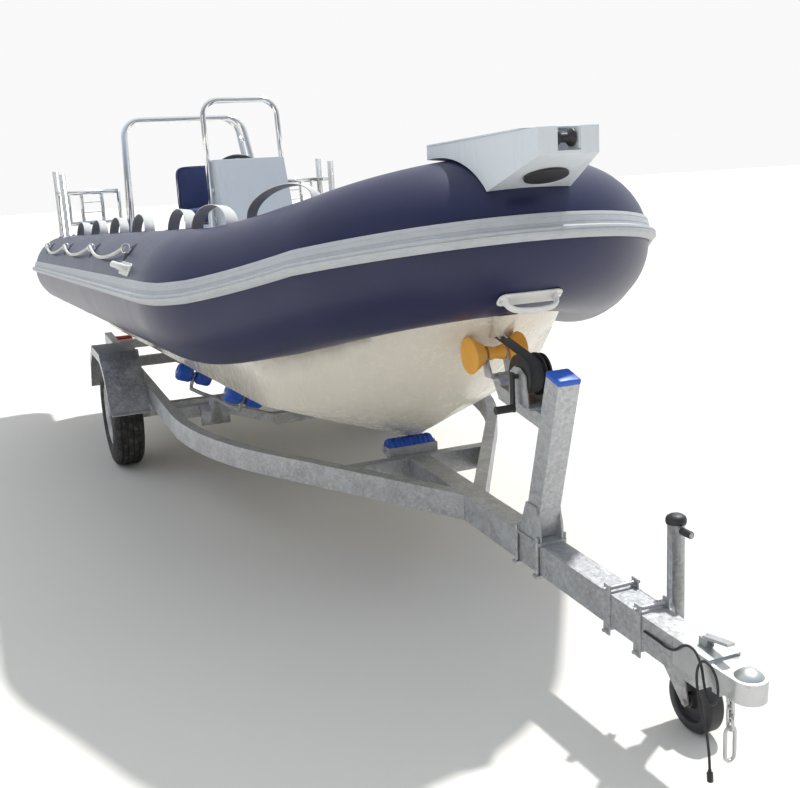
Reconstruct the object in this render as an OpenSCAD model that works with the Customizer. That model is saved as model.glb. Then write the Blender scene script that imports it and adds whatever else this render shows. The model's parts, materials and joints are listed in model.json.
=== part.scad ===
// Inflatable boat with a rigid hull, parked on its own road trailer.
// +X points to the bow and the tow coupler, +Y to port, +Z up.
// Lengths along the boat are measured from the trailer's axle; row() then centres the model.

/* [Collar] */
// Half the distance between the tube centres at the stern
stern_half = 945; // [880:5:1000]
// Half the distance between the tube centres at the shoulder
shoulder_half = 785; // [740:5:830]
// Tube radius at the stern
tube_r_stern = 235; // [200:1:250]
// Tube radius from the shoulder forward
tube_r_bow = 259; // [230:1:270]
// Aft end of the full tube, from the axle
stern_x = -1885; // [-2100:5:-1750]
// Place where the tubes start to close in, from the axle
shoulder_x = 2200; // [2000:5:2300]
// Foremost point of the tube's centreline, from the axle
bow_x = 3035; // [2950:5:3150]
// Height of the tube's centre at the stern
tube_z_stern = 1020; // [980:5:1080]
// Height of the tube's centre at the shoulder
tube_z_shoulder = 1182; // [1140:5:1220]
// Height of the tube's centre at the bow
tube_z_bow = 1386; // [1340:5:1420]
// Length of the cone that closes each tube
cone_length = 190; // [140:5:240]
// How far the rubbing strake stands off the tube
strake_depth = 27; // [15:1:35]

/* [Hull] */
// Height of the keel below the axle station
keel_z = 411; // [400:1:440]
// Place of the transom, from the axle
transom_x = -1640; // [-1700:5:-1500]
// Rise of the bottom for each unit of half breadth
bottom_rise = 0.36; // [0.3:0.01:0.4]
// Thickness of the deck panel
deck_thick = 12; // [8:1:20]

/* [Console and seat] */
// Width of the console
console_width = 420; // [360:5:500]
// Height of the console's top edge
console_top_z = 1720; // [1600:5:1780]
// Foremost point of the console's face
console_front_x = 140; // [80:5:200]
// Outer diameter of the hoop tubes
hoop_d = 42; // [32:1:48]
// Steering wheel diameter
helm_d = 350; // [300:5:380]
// Width of the helm seat
seat_width = 460; // [400:5:520]
// Height of the seat cushion's top
seat_z = 1430; // [1380:5:1500]

/* [Bow locker] */
// Length of the locker
locker_length = 525; // [480:5:560]
// Half width of the locker's nose
nose_half = 100; // [85:1:120]
// Half width of the locker's aft end
locker_aft_half = 207; // [180:1:230]
// Thickness of the locker's plate
locker_wall = 4; // [3:0.5:6]
// How far the lid opens, degrees
lid_open = 100; // [60:5:110]

/* [Trailer frame] */
// Height of the frame's top face over the axle
frame_z = 528; // [500:1:560]
// Nose-down slope of the parked frame, degrees
frame_pitch = 2.04; // [1.5:0.1:2.5]
// Width of the drawbar
drawbar_w = 90; // [75:1:100]
// Height of the drawbar and the side rails
rail_h = 100; // [80:1:110]
// Width of a side rail
rail_w = 50; // [40:1:60]
// Half the outer width over the straight side rails
rail_half = 800; // [780:1:805]
// Front end of the drawbar, from the axle
drawbar_x = 4110; // [4050:5:4150]

/* [Wheels] */
// Tyre radius
tyre_r = 305; // [295:1:310]
// Tyre width
tyre_w = 175; // [155:1:180]
// Distance of each wheel's centre from the middle
wheel_y = 910; // [905:1:930]
// Rim radius
rim_r = 168; // [160:1:180]
// Stub axle radius
stub_r = 20; // [16:1:24]

/* [Rollers] */
// Radius of a keel roller
keel_roller_r = 42; // [38:1:46]
// Half length of a keel roller
keel_roller_half = 100; // [80:1:115]
// Half length of the bow roller
bow_roller_half = 100; // [90:1:108]
// Radius of every roller pin
roller_pin_r = 9; // [7:0.5:11]

/* [Jockey wheel] */
// Jockey wheel radius
jockey_r = 95; // [85:1:100]
// Distance of the jockey wheel's tube from the middle
jockey_y = 137; // [130:1:150]
// Distance of the jockey wheel's tube ahead of the axle
jockey_x = 3775; // [3750:5:3800]
// Radius of the jockey wheel's tube
jockey_tube_r = 25; // [22:1:28]
// How far the jockey wheel trails its tube
jockey_trail = 95; // [80:1:100]

/* [Hidden] */

seat_gap = 0.3;      // gap between pieces that rest on each other
run_gap = 0.05;      // radial play of a pin in its bore
eps = 0.01;

// ---------------------------------------------------------------- plan of the collar
bow_taper = 30;                 // heading of the tube between shoulder and bow, degrees
bend_r = 600;                   // radius of the bend at the shoulder
aft_taper = atan((stern_half - shoulder_half) / (shoulder_x - stern_x));
bow_r = (shoulder_half * cos(bow_taper) - (bow_x - shoulder_x) * sin(bow_taper))
    / (1 - sin(bow_taper));
bend_t = bend_r * tan((bow_taper - aft_taper) / 2);
bend_start = [shoulder_x - bend_t * cos(aft_taper), shoulder_half + bend_t * sin(aft_taper)];
bend_centre = bend_start - bend_r * [sin(aft_taper), cos(aft_taper)];
collar_sides = 20;
side_step = 360 / collar_sides;
strake_angle = 8.6;             // height of the strake's middle on the tube, degrees
tube_clear = 0.3;               // gap between the tube and the hull's saddle

// A station of the collar is [x, half breadth, heading].
function aft_station(x) = [x, stern_half - (x - stern_x) * tan(aft_taper), aft_taper];
function arc_station(c, r, a) = [c[0] + r * sin(a), c[1] + r * cos(a), a];
function lerp(a, b, t) = a + (b - a) * t;
function bow_stations() = concat(
    [for (a = [aft_taper : (bow_taper - aft_taper) / 4 : bow_taper + eps])
        arc_station(bend_centre, bend_r, a)],
    [for (t = [1 : 2]) lerp(arc_station(bend_centre, bend_r, bow_taper),
        arc_station([bow_x - bow_r, 0], bow_r, bow_taper), t / 3)],
    [for (a = [bow_taper : 7.5 : 90 + eps]) arc_station([bow_x - bow_r, 0], bow_r, a)]);
function stations(x0) = concat(
    [for (t = [0 : 6]) aft_station(lerp(x0, bend_start[0], t / 7))], bow_stations());

function tube_z(x) = x < shoulder_x
    ? lerp(tube_z_stern, tube_z_shoulder, (x - stern_x) / (shoulder_x - stern_x))
    : lerp(tube_z_shoulder, tube_z_bow, pow((x - shoulder_x) / (bow_x - shoulder_x), 1.3));
function tube_r(x) = lerp(tube_r_stern, tube_r_bow,
    min(1, (x - stern_x) / (shoulder_x - stern_x)));
function out_dir(st, s) = [sin(st[2]), s * cos(st[2]), 0];
// Point at angle th on a ring of radius r round the tube's centre at a station.
function on_ring(st, s, r, th) = [st[0], s * st[1], tube_z(st[0])]
    + r * cos(th) * out_dir(st, s) + [0, 0, r * sin(th)];
// Turns a piece so that its X leaves the tube's skin at an angle th, at a station on side s.
module on_tube(st, s, th, lift = seat_gap) {
    translate(on_ring(st, s, tube_r(st[0]) + lift, th))
        rotate([0, 0, s * (90 - st[2])]) rotate([0, -th, 0])
        rotate([0, 0, s * skin_slope(st, th)]) children();
}
// Climb of the tube's skin towards the bow at an angle th, degrees.
function skin_slope(st, th) = atan(cos(st[2]) / 2 * ((tube_z(st[0] + 1) - tube_z(st[0] - 1))
    * sin(th) + tube_r(st[0] + 1) - tube_r(st[0] - 1)));

// ---------------------------------------------------------------- hull lines
keel_slope = 0.04;
forefoot_x = 2000;              // where the keel starts to rise
stem_rise = 533;                // rise of the stem over the keel line at stem_x
stem_x = 2965;
function keel_line(x) = keel_z + keel_slope * x
    + stem_rise * pow(max(0, x - forefoot_x) / (stem_x - forefoot_x), 2);
function bottom_z(x, y) = keel_line(x) + abs(y) * bottom_rise;
join_angle = 35;                // where the hull's side meets the tube, from straight down
deck_angle = 59;                // where the deck meets the tube, from straight down
bottom_tilt = atan(bottom_rise);

// ---------------------------------------------------------------- the model's middle
coupler_nose_x = 4235 + 46.7;
mid_x = (stern_x - cone_length - 0.42 * tube_r_stern * sin(aft_taper) + coupler_nose_x) / 2;

steel = "silver";
navy = [0.12, 0.15, 0.35];
cream = [0.85, 0.82, 0.75];
pale_grey = [0.78, 0.82, 0.85];
roller_blue = [0.02, 0.15, 0.62];

module row() translate([-mid_x, 0, 0]) children();
// The trailer's own frame: its top face is at h = 0 and slopes nose down.
module on_frame() row() translate([0, 0, frame_z]) rotate([0, frame_pitch, 0]) children();
function frame_x(x, z) = x * cos(frame_pitch) - (z - frame_z) * sin(frame_pitch);
function frame_h(x, z) = x * sin(frame_pitch) + (z - frame_z) * cos(frame_pitch);

module mirrored() {
    children();
    mirror([0, 1, 0]) children();
}
// Solid through a list of rings of equal length, closed with flat ends.
module loft(rings) {
    n = len(rings[0]);
    m = len(rings);
    polyhedron(
        points = [for (r = rings) for (p = r) p],
        faces = concat(
            [[for (k = [0 : n - 1]) k]],
            [for (i = [0 : m - 2]) for (k = [0 : n - 1]) each let (
                a = i * n + k, b = i * n + (k + 1) % n, c = b + n, d = a + n)
                [[a, c, b], [a, d, c]]],
            [[for (k = [0 : n - 1]) (m - 1) * n + (n - k) % n]]));
}
// Round tube through a list of points.
module pipe(path, r, sides = 8) {
    n = len(path);
    function along(i) = let (v = path[min(n - 1, i + 1)] - path[max(0, i - 1)]) v / norm(v);
    t = [for (i = [0 : n - 1]) along(i)];
    u = carried(t, 0, abs(t[0][2]) > 0.9 ? [1, 0, 0] : [0, 0, 1]);
    loft([for (i = [0 : n - 1]) tube_ring(path[i], t[i], u[i], r, sides)]);
}
// Closed loop of round bar through a list of points.
module loop_pipe(path, r, sides = 6) {
    n = len(path);
    t = [for (i = [0 : n - 1]) let (v = path[(i + 1) % n] - path[(i + n - 1) % n]) v / norm(v)];
    u = cross(path[1] - path[0], path[2] - path[1]);
    rings = [for (i = [0 : n - 1]) tube_ring(path[i], t[i], u / norm(u), r, sides)];
    polyhedron(
        points = [for (ring = rings) for (p = ring) p],
        faces = [for (i = [0 : n - 1]) for (k = [0 : sides - 1]) each let (
            a = i * sides + k, b = i * sides + (k + 1) % sides, j = (i + 1) % n,
            c = j * sides + (k + 1) % sides, d = j * sides + k)
            [[a, c, b], [a, d, c]]]);
}
function carried(t, i, u) = i >= len(t) ? [] : let (
    v = u - (u * t[i]) * t[i], w = v / norm(v)) concat([w], carried(t, i + 1, w));
function tube_ring(c, t, u, r, sides) = let (w = cross(t, u)) [for (k = [0 : sides - 1])
    c + r * (cos(360 * k / sides) * u + sin(360 * k / sides) * w)];
// Straight round bar between two points.
module bar(a, b, d) {
    v = b - a;
    translate(a) rotate([0, acos(v[2] / norm(v)), atan2(v[1], v[0])])
        cylinder(h = norm(v), d = d, $fn = 32);
}
module across(h, r) rotate([90, 0, 0]) cylinder(h = h, r = r, center = true, $fn = 48);

// ---------------------------------------------------------------- collar
cone_steps = [[1, 0.42, 0.10], [0.88, 0.66, 0.05], [0.62, 0.87, 0.02], [0.3, 0.97, 0]];
function cone_station(f) = aft_station(stern_x - f * cone_length);
function collar_ring(st, s, k_r) = [for (k = [0 : collar_sides - 1])
    on_ring(st, s, k_r, strake_angle + side_step * (k + 0.5))];
function cone_rings(s) = [for (c = cone_steps) [for (p = collar_ring(cone_station(c[0]), s,
    tube_r_stern * c[1])) p + [0, 0, tube_r_stern * c[2]]]];
function reversed(l) = [for (i = [len(l) - 1 : -1 : 0]) l[i]];
function side_rings(s) = concat(cone_rings(s),
    [for (st = stations(stern_x)) collar_ring(st, s, tube_r(st[0]))]);
module collar() {
    port = side_rings(1);
    starboard = side_rings(-1);
    color(navy) row() loft(concat(port,
        [for (i = [len(starboard) - 2 : -1 : 0]) starboard[i]]));
}

// Strake profile: [angle from its middle, height over the tube's skin].
strake_profile = [[1, 8], [-1, strake_depth - 2], [-5, strake_depth], [-9, 9], [-9, seat_gap],
    [9, seat_gap], [9, 7]];
function strake_ring(st, s) = [for (p = strake_profile)
    on_ring(st, s, tube_r(st[0]) + p[1], strake_angle + p[0])];
module rubbing_strake() {
    list = stations(stern_x);
    color([0.8, 0.8, 0.78]) row() loft(concat(
        [for (st = list) strake_ring(st, 1)],
        [for (i = [len(list) - 2 : -1 : 0]) strake_ring(list[i], -1)]));
}

// ---------------------------------------------------------------- hull and deck
function bow_share(x) = max(0, min(1, (x - shoulder_x) / (bow_x - shoulder_x)));
function join_at(st) = join_angle * (1 - pow(bow_share(st[0]), 2));
function saddle(st, s, a) = on_ring(st, s,
    (tube_r(st[0]) + tube_clear) / cos(side_step / 2), 270 - a);
function keel_at(j) = min(keel_line(j[0]), j[2] - 14);
function hull_side(st, s) = let (
    j = saddle(st, s, join_at(st)),
    kz = keel_at(j),
    w = lerp(min(0.8, abs(j[1]) * 0.9 * bottom_rise / (j[2] - kz)), 0.75,
        pow(bow_share(st[0]), 2)),
    chine = [j[0], j[1] * 0.92, lerp(kz, j[2], w)])
    [lerp([j[0], 0, kz], chine, 0.5) - [0, 0, 4], chine, j,
     saddle(st, s, lerp(join_at(st), deck_angle, 1 / 3)),
     saddle(st, s, lerp(join_at(st), deck_angle, 2 / 3)),
     saddle(st, s, deck_angle)];
function hull_ring(st) = let (p = hull_side(st, 1), q = hull_side(st, -1)) concat(
    [[p[2][0], 0, keel_at(p[2])]], p, [[p[5][0] - (st[2] > 89 ? 20 : 0), 0, p[5][2]]],
    reversed(q));
// Loft of rings that mirror about the middle, closed along its last ring.
module zipped_loft(rings) {
    n = len(rings[0]);
    m = len(rings);
    half = n / 2;
    function at(i, k) = i * n + (i == m - 1 && k > half ? n - k : k);
    last = [for (k = [0 : half]) rings[m - 1][k]];
    polyhedron(
        points = concat([for (i = [0 : m - 2]) for (p = rings[i]) p], last),
        faces = concat(
            [[for (k = [0 : n - 1]) k]],
            [for (i = [0 : m - 2]) for (k = [0 : n - 1]) each let (
                a = at(i, k), b = at(i, (k + 1) % n), c = at(i + 1, (k + 1) % n),
                d = at(i + 1, k))
                [[a, c, b], [a, d, c]]]));
}
module hull() {
    color(cream) row() zipped_loft([for (st = stations(transom_x)) hull_ring(st)]);
}
function deck_side(st, s) = let (p = saddle(st, s, deck_angle) + [0, 0, seat_gap],
    q = saddle(st, s, deck_angle + 3)) [p, [q[0], q[1], p[2] + deck_thick]];
function deck_ring(st) = concat(deck_side(st, 1), reversed(deck_side(st, -1)));
module deck() {
    list = stations(transom_x);
    color(pale_grey) row() loft([for (i = [0 : len(list) - 3]) deck_ring(list[i])]);
}
function deck_z(x) = tube_z(x) - (tube_r(x) + tube_clear) / cos(side_step / 2) * cos(deck_angle)
    + deck_thick + 2 * seat_gap;

// Bow plate that carries the stem and the bow eye.
stem_plate_t = 12;
bow_eye = [bow_x - 31, 1052];
bow_eye_r = 9;
module stem_plate() {
    top = [for (a = [60 : 7.5 : 90]) let (j = saddle(arc_station([bow_x - bow_r, 0], bow_r, a), 1,
        join_at(arc_station([bow_x - bow_r, 0], bow_r, a)))) [j[0], keel_at(j) - 0.5]];
    tube_low = tube_z_bow - tube_r_bow;
    color(cream) row() difference() {
        intersection() {
            translate([0, 100, 0]) rotate([90, 0, 0]) linear_extrude(200)
                polygon(concat(top, [[bow_x + 1, tube_low - 2], [bow_x + 60, tube_low + 5],
                    [bow_x + 5, bow_eye[1] + 38], [bow_eye[0] + 8, bow_eye[1] - 16],
                    [bow_eye[0] - 14, bow_eye[1] - 16]]));
            translate([bow_x - 200, 0, 0]) rotate([90, 0, 90]) linear_extrude(400) polygon([
                [-6, 1000], [6, 1000], [6, bow_eye[1] + 22], [42, tube_low - 6], [42, 1200],
                [-42, 1200], [-42, tube_low - 6], [-6, bow_eye[1] + 22]]);
        }
        translate([bow_eye[0], 0, bow_eye[1]]) across(40, bow_eye_r);
    }
}

// ---------------------------------------------------------------- bow locker
locker_nose_x = 3463;
locker_aft_x = locker_nose_x - locker_length;
locker_top_nose = 1714;
locker_top_aft = 1682;
nose_plate_z = 1636;            // lower edge of the upright nose plate
chin_x = 3217;                  // lower edge of the sloping chin
chin_z = 1532;
locker_saddle = 0.2;              // gap between the locker and the tube
function locker_half(x) = lerp(locker_aft_half, nose_half,
    (x - locker_aft_x) / locker_length);
function locker_top(x) = lerp(locker_top_aft, locker_top_nose,
    (x - locker_aft_x) / locker_length);
module locker_shape(inset, floor_drop) {
    xa = locker_aft_x + inset;
    xn = locker_nose_x - inset;
    intersection() {
        translate([0, 0, 1400]) linear_extrude(400) polygon([
            [xa, -locker_half(xa) + inset], [xn, -nose_half + inset],
            [xn, nose_half - inset], [xa, locker_half(xa) - inset]]);
        translate([0, 300, 0]) rotate([90, 0, 0]) linear_extrude(600) polygon([
            [xa, locker_top(xa) + floor_drop], [xn, locker_top(xn) + floor_drop],
            [xn, nose_plate_z + inset], [chin_x, chin_z + inset * 1.4],
            [xa, chin_z + inset * 1.4]]);
    }
}
// The tube's bow arc as an exact ring, used to cut the locker's underside.
module bow_ring(grow) {
    translate([bow_x - bow_r, 0, tube_z_bow]) rotate([0, 0, -75])
        rotate_extrude(angle = 150, $fn = 96) translate([bow_r, 0])
            circle(r = tube_r_bow + grow, $fn = 64);
}
lid_t = 5;
hinge_r = 6;
hinge_pin_r = 3.5;
hinge_x = locker_aft_x - 8;
hinge_z = locker_top_aft + lid_t / 2 + 1;
anchor_x = locker_nose_x - 34;
anchor_z = 1682;
anchor_half = 34;
module bow_locker() {
    color(pale_grey) row() difference() {
        union() {
            locker_shape(0, 0);
            for (y = [-120, 120]) translate([hinge_x + 3, y, hinge_z - 3]) cube([10, 24, 18],
                center = true);
        }
        difference() {
            locker_shape(locker_wall, 50);
            translate([3345, -200, 1400]) cube([locker_wall, 400, 400]);
        }
        bow_ring(locker_saddle);
        translate([anchor_x - 40, -anchor_half - 5, anchor_z - 36])
            cube([100, 2 * anchor_half + 10, 80]);
        for (y = [-120, 120]) translate([hinge_x, y, hinge_z]) across(40, hinge_pin_r + run_gap);
    }
    color(steel) row() {
        for (s = [-1, 1]) translate([anchor_x, s * (anchor_half + 4), anchor_z])
            difference() {
                translate([0, 0, -2]) cube([60, 5, 62], center = true);
                across(20, roller_pin_r);
            }
        translate([anchor_x, 0, anchor_z]) across(2 * anchor_half + 13, roller_pin_r);
    }
}
module locker_lid() {
    xa = locker_aft_x + 4;
    xn = locker_nose_x - 76;
    slope = atan((locker_top_nose - locker_top_aft) / locker_length);
    color(pale_grey) row() {
        translate([xa, 0, locker_top(xa) + 0.5]) rotate([0, -slope, 0]) linear_extrude(lid_t)
            polygon([[0, -locker_half(xa) - 3], [xn - xa, -locker_half(xn) - 3],
                [xn - xa, locker_half(xn) + 3], [0, locker_half(xa) + 3]]);
        translate([hinge_x, 0, hinge_z]) across(268, hinge_pin_r);
        for (y = [-90, 90]) {
            translate([hinge_x, y, hinge_z]) across(30, hinge_r);
            translate([hinge_x + 8, y, hinge_z + 1]) cube([22, 30, 4], center = true);
        }
    }
}
module anchor_roller() {
    color(steel) row() translate([anchor_x, 0, anchor_z]) rotate([90, 0, 0])
        rotate_extrude($fn = 48) polygon([[roller_pin_r + run_gap, -anchor_half + 4],
            [26, -anchor_half + 4], [26, -anchor_half + 10], [14, -anchor_half + 24],
            [14, anchor_half - 24], [26, anchor_half - 10], [26, anchor_half - 4],
            [roller_pin_r + run_gap, anchor_half - 4]]);
}
chin_tilt = atan((nose_plate_z - chin_z) / (locker_nose_x - chin_x));
module vent_cover() {
    color("black") row() translate([lerp(chin_x, locker_nose_x, 0.46), 0,
        lerp(chin_z, nose_plate_z, 0.46)]) rotate([0, 180 - chin_tilt, 0])
        translate([0, 0, seat_gap]) scale([1, 1, 1]) linear_extrude(9)
            polygon([for (a = [0 : 12 : 348]) [52 * cos(a), 74 * sin(a)]]);
}

// ---------------------------------------------------------------- console and helm
console_face_x = -71;           // top edge of the sloping face
console_half = console_width / 2;
console_dash_x = -206;          // aft edge of the top
console_aft_x = -395;
console_wall = 6;
face_knee_z = 1200;
dash_drop = 340;
helm_tilt = 90 - atan(dash_drop / (console_dash_x - console_aft_x));
helm_x = lerp(console_dash_x, console_aft_x, 0.56);
helm_z = console_top_z - 0.56 * dash_drop;
helm_reach = 140;               // from the dash to the rim
module console_outline(inset) {
    z0 = deck_z(console_aft_x) + 1;
    translate([0, console_half - inset, 0]) rotate([90, 0, 0])
        linear_extrude(console_width - 2 * inset)
            polygon([[console_aft_x + inset, z0 - (inset > 0 ? 50 : 0)],
                [console_front_x - inset, z0 + (inset > 0 ? -50
                    : deck_z(console_front_x) - z0)],
                [console_front_x - inset, face_knee_z],
                [console_face_x - inset, console_top_z - inset],
                [console_dash_x + inset * 0.6, console_top_z - inset],
                [console_aft_x + inset, console_top_z - dash_drop]]);
}
module console() {
    color(pale_grey) row() difference() {
        console_outline(0);
        console_outline(console_wall);
        translate([helm_x, 0, helm_z]) rotate([0, -90 + helm_tilt, 0])
            cylinder(h = 160, r = 14 + run_gap, center = true, $fn = 48);
    }
}
// Points of a hoop in a plane, with its two top corners rounded.
function hoop_path(half_foot, half_top, top, corner) = let (
    lean = atan((half_foot - half_top) / top),
    turn = 90 - lean,
    t = corner * tan(turn / 2),
    side = [sin(lean), -cos(lean)],
    p = [half_top, top] + t * side,
    c = p - corner * [cos(lean), sin(lean)])
    concat([[half_foot, 0]],
        [for (i = [0 : 6]) let (a = lean + turn * i / 6) c + corner * [cos(a), sin(a)]]);
function hoop(half_foot, half_top, top, corner) = let (
    h = hoop_path(half_foot, half_top, top, corner))
    concat([for (p = h) p], [for (i = [len(h) - 1 : -1 : 0]) [-h[i][0], h[i][1]]]);
// Stands a hoop's path up from a foot at (x, z), raked aft by a slope.
function stand_up(path, x, z, rake) = [for (p = path) [x - p[1] * rake, p[0], z + p[1]]];

console_hoop_half = console_half + hoop_d / 2;
console_hoop_foot_z = 1330;
console_hoop_x = -150;
console_hoop_top = 2066;
module console_hoop() {
    color(steel) row() {
        pipe(stand_up(hoop(console_hoop_half, console_hoop_half - 4,
            console_hoop_top - console_hoop_foot_z, 95), console_hoop_x,
            console_hoop_foot_z, 0.09), hoop_d / 2 - 4, 12);
        for (s = [-1, 1]) for (z = [1360, 1540]) translate([console_hoop_x
            - (z - console_hoop_foot_z) * 0.09, s * (console_half + 4.3), z])
            rotate([90, 0, 0]) cylinder(h = 8, d = 46, center = true, $fn = 32);
    }
}
module steering_wheel() {
    color([0.1, 0.1, 0.11]) row() translate([helm_x, 0, helm_z])
        rotate([0, -90 + helm_tilt, 0]) {
            translate([0, 0, helm_reach]) rotate_extrude($fn = 64) translate([helm_d / 2 - 14, 0])
                circle(d = 26, $fn = 32);
            for (a = [90, 210, 330]) rotate([0, 0, a]) translate([(helm_d - 28) / 4, 0,
                helm_reach - 8]) rotate([0, -6, 0]) cube([(helm_d - 28) / 2, 26, 8], center = true);
            translate([0, 0, helm_reach - 30]) cylinder(h = 28, r = 42, $fn = 48);
            translate([0, 0, -60]) cylinder(h = helm_reach + 40, r = 14, $fn = 48);
        }
}

// ---------------------------------------------------------------- helm seat
seat_x = -930;
seat_depth = 420;
cushion_t = 110;
seat_wall = 6;
module seat_base() {
    z0 = deck_z(seat_x - seat_depth / 2 + 20) + 0.3;
    h = seat_z - cushion_t - z0;
    rise = deck_z(seat_x + seat_depth / 2 - 20) + 0.3 - z0;
    color(pale_grey) row() difference() {
        translate([seat_x, seat_width / 2 - 20, 0]) rotate([90, 0, 0])
            linear_extrude(seat_width - 40) polygon([[-seat_depth / 2 + 20, z0],
                [seat_depth / 2 - 20, z0 + rise], [seat_depth / 2 - 10, z0 + h],
                [-seat_depth / 2, z0 + h]]);
        translate([seat_x, 0, z0 + h / 2 - 10]) cube([seat_depth - 60, seat_width - 60,
            h - 40], center = true);
    }
}
module seat_cushion() {
    color(navy) row() translate([seat_x, 0, seat_z - cushion_t / 2 + seat_gap])
        cube([seat_depth, seat_width, cushion_t], center = true);
}
back_t = 90;
back_h = 330;
module seat_backrest() {
    color(navy) row() translate([seat_x - seat_depth / 2 - back_t / 2 - 12, 0,
        seat_z - 60 + back_h / 2]) cube([back_t, seat_width, back_h], center = true);
    color(steel) row() for (s = [-1, 1]) translate([seat_x - seat_depth / 2 - 6,
        s * 150, seat_z - 150]) translate([-26, -20, -60]) cube([31.7, 40, 150]);
}

// ---------------------------------------------------------------- stern arch and frames
arch_foot_x = -1490;
arch_foot_half = 545;
arch_top_half = 445;
arch_top = 2050;
arch_rake = 0.38;
arch_gap = 110;                 // between the front and the rear hoop
arch_corner = 130;
module stern_arch() {
    color(steel) row() {
        for (k = [0, 1]) {
            x = arch_foot_x - k * arch_gap;
            z = deck_z(x + 35);
            pipe(stand_up(hoop(arch_foot_half - 40 * k, arch_top_half - 20 * k,
                arch_top - z, arch_corner), x, z + 6, arch_rake), hoop_d / 2, 12);
            for (s = [-1, 1]) translate([x, s * (arch_foot_half - 40 * k), z])
                cylinder(h = 10, d = 70, $fn = 32);
        }
        for (s = [-1, 1]) for (h = [250, 960]) {
            share = h / (arch_top - deck_z(arch_foot_x));
            bar([arch_foot_x - h * arch_rake, s * lerp(arch_foot_half, arch_top_half, share),
                deck_z(arch_foot_x) + h + 6],
                [arch_foot_x - arch_gap - h * arch_rake,
                s * lerp(arch_foot_half - 40, arch_top_half - 20, share),
                deck_z(arch_foot_x) + h + 3], 24);
        }
    }
}
pad_angle = strake_angle + 4 * side_step;      // middle of the collar's facet beside the top
facet_sink = 1 - cos(side_step / 2);
function post_y(x) = aft_station(x)[1] + tube_r(x) * cos(pad_angle);
frame_x0 = -1720;               // station of the transverse side frames
frame_post_top = 1715;
frame_rail_top = 1560;
frame_rail_low = 1345;
frame_inner_y = 560;
post_d = 44;
module stern_frame(s) {
    x1 = frame_x0 + 320;
    color(steel) row() {
        difference() {
            for (x = [frame_x0, x1]) {
                foot = tube_z(x) + tube_r(x) * sin(pad_angle) + 5;
                translate([x, s * post_y(x), foot]) cylinder(h = frame_post_top - foot
                    - (x > frame_x0 ? 25 : 0), d = post_d, $fn = 48);
                on_tube(aft_station(x), s, pad_angle, seat_gap - tube_r(x) * facet_sink)
                    translate([5, 0, 0]) cube([10, 90, 70], center = true);
            }
            for (x = [frame_x0, x1]) translate([x, s * post_y(x), frame_post_top - 260])
                cylinder(h = 300, d = post_d - 6, $fn = 48);
        }
        for (z = [frame_rail_top, frame_rail_low]) {
            bar([frame_x0, s * frame_inner_y, z], [frame_x0, s * (post_y(frame_x0) - 20.5), z],
                30);
            bar([frame_x0 + 20.5, s * post_y(frame_x0), z], [x1 - 20.5, s * post_y(x1), z], 28);
        }
        for (y = [frame_inner_y, 680, 820, 910])
            bar([frame_x0, s * y, frame_rail_low], [frame_x0, s * y, frame_rail_top], 26);
        for (z = [1420, 1490]) translate([frame_x0, s * 750, z]) cube([70, 130, 5],
            center = true);
    }
}
module stern_frame_port() stern_frame(1);
module stern_frame_starboard() stern_frame(-1);

// ---------------------------------------------------------------- fittings on the collar
strap_w = 50;
strap_t = 5;
strap_half = 165;
strap_high = 88;
strap_stations = concat([for (x = [-1200, -550, 130, 800, 1640]) aft_station(x)],
    [arc_station(bend_centre, bend_r, 11)],
    [lerp(arc_station(bend_centre, bend_r, bow_taper),
        arc_station([bow_x - bow_r, 0], bow_r, bow_taper), 0.42)]);
strap_angle = strake_angle + 5 * side_step;
module grab_strap(st, s) {
    on_tube(st, s, strap_angle, 0.6 - tube_r(st[0]) * facet_sink) rotate([0, 90, 0]) rotate([0, 0, 90])
        translate([0, strap_w / 2, 0]) rotate([90, 0, 0]) linear_extrude(strap_w)
            difference() {
                polygon([for (a = [0 : 10 : 180]) [strap_half * cos(a),
                    strap_high * sin(a)]]);
                polygon([for (a = [0 : 10 : 180]) [(strap_half - strap_t) * cos(a),
                    (strap_high - strap_t) * sin(a) + (a == 0 || a == 180 ? -1 : 0)]]);
            }
}
module grab_straps(s) color("white") row() for (st = strap_stations) grab_strap(st, s);
module grab_straps_port() grab_straps(1);
module grab_straps_starboard() grab_straps(-1);

handle_half = 115;
module carry_handle() {
    translate([3, 0, 0]) cube([5, 2 * handle_half, 56], center = true);
    for (s = [-1, 1]) translate([22, s * (handle_half - 26), 0])
        cube([38, 40, 40], center = true);
    translate([50, 0, 0]) cube([20, 2 * handle_half - 12, 40], center = true);
}
handle_x = 1720;
module carry_handles() {
    color("white") row() {
        st = arc_station([bow_x - bow_r, 0], bow_r, 90);
        a = strake_angle - 3 * side_step;
        translate(on_ring(st, 1, tube_r_bow * (1 - facet_sink) + seat_gap, a))
            rotate([0, -a, 0]) carry_handle();
        for (s = [-1, 1]) on_tube(aft_station(handle_x), s, strake_angle + side_step,
            0.1 - tube_r(handle_x) * facet_sink) carry_handle();
    }
}

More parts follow.
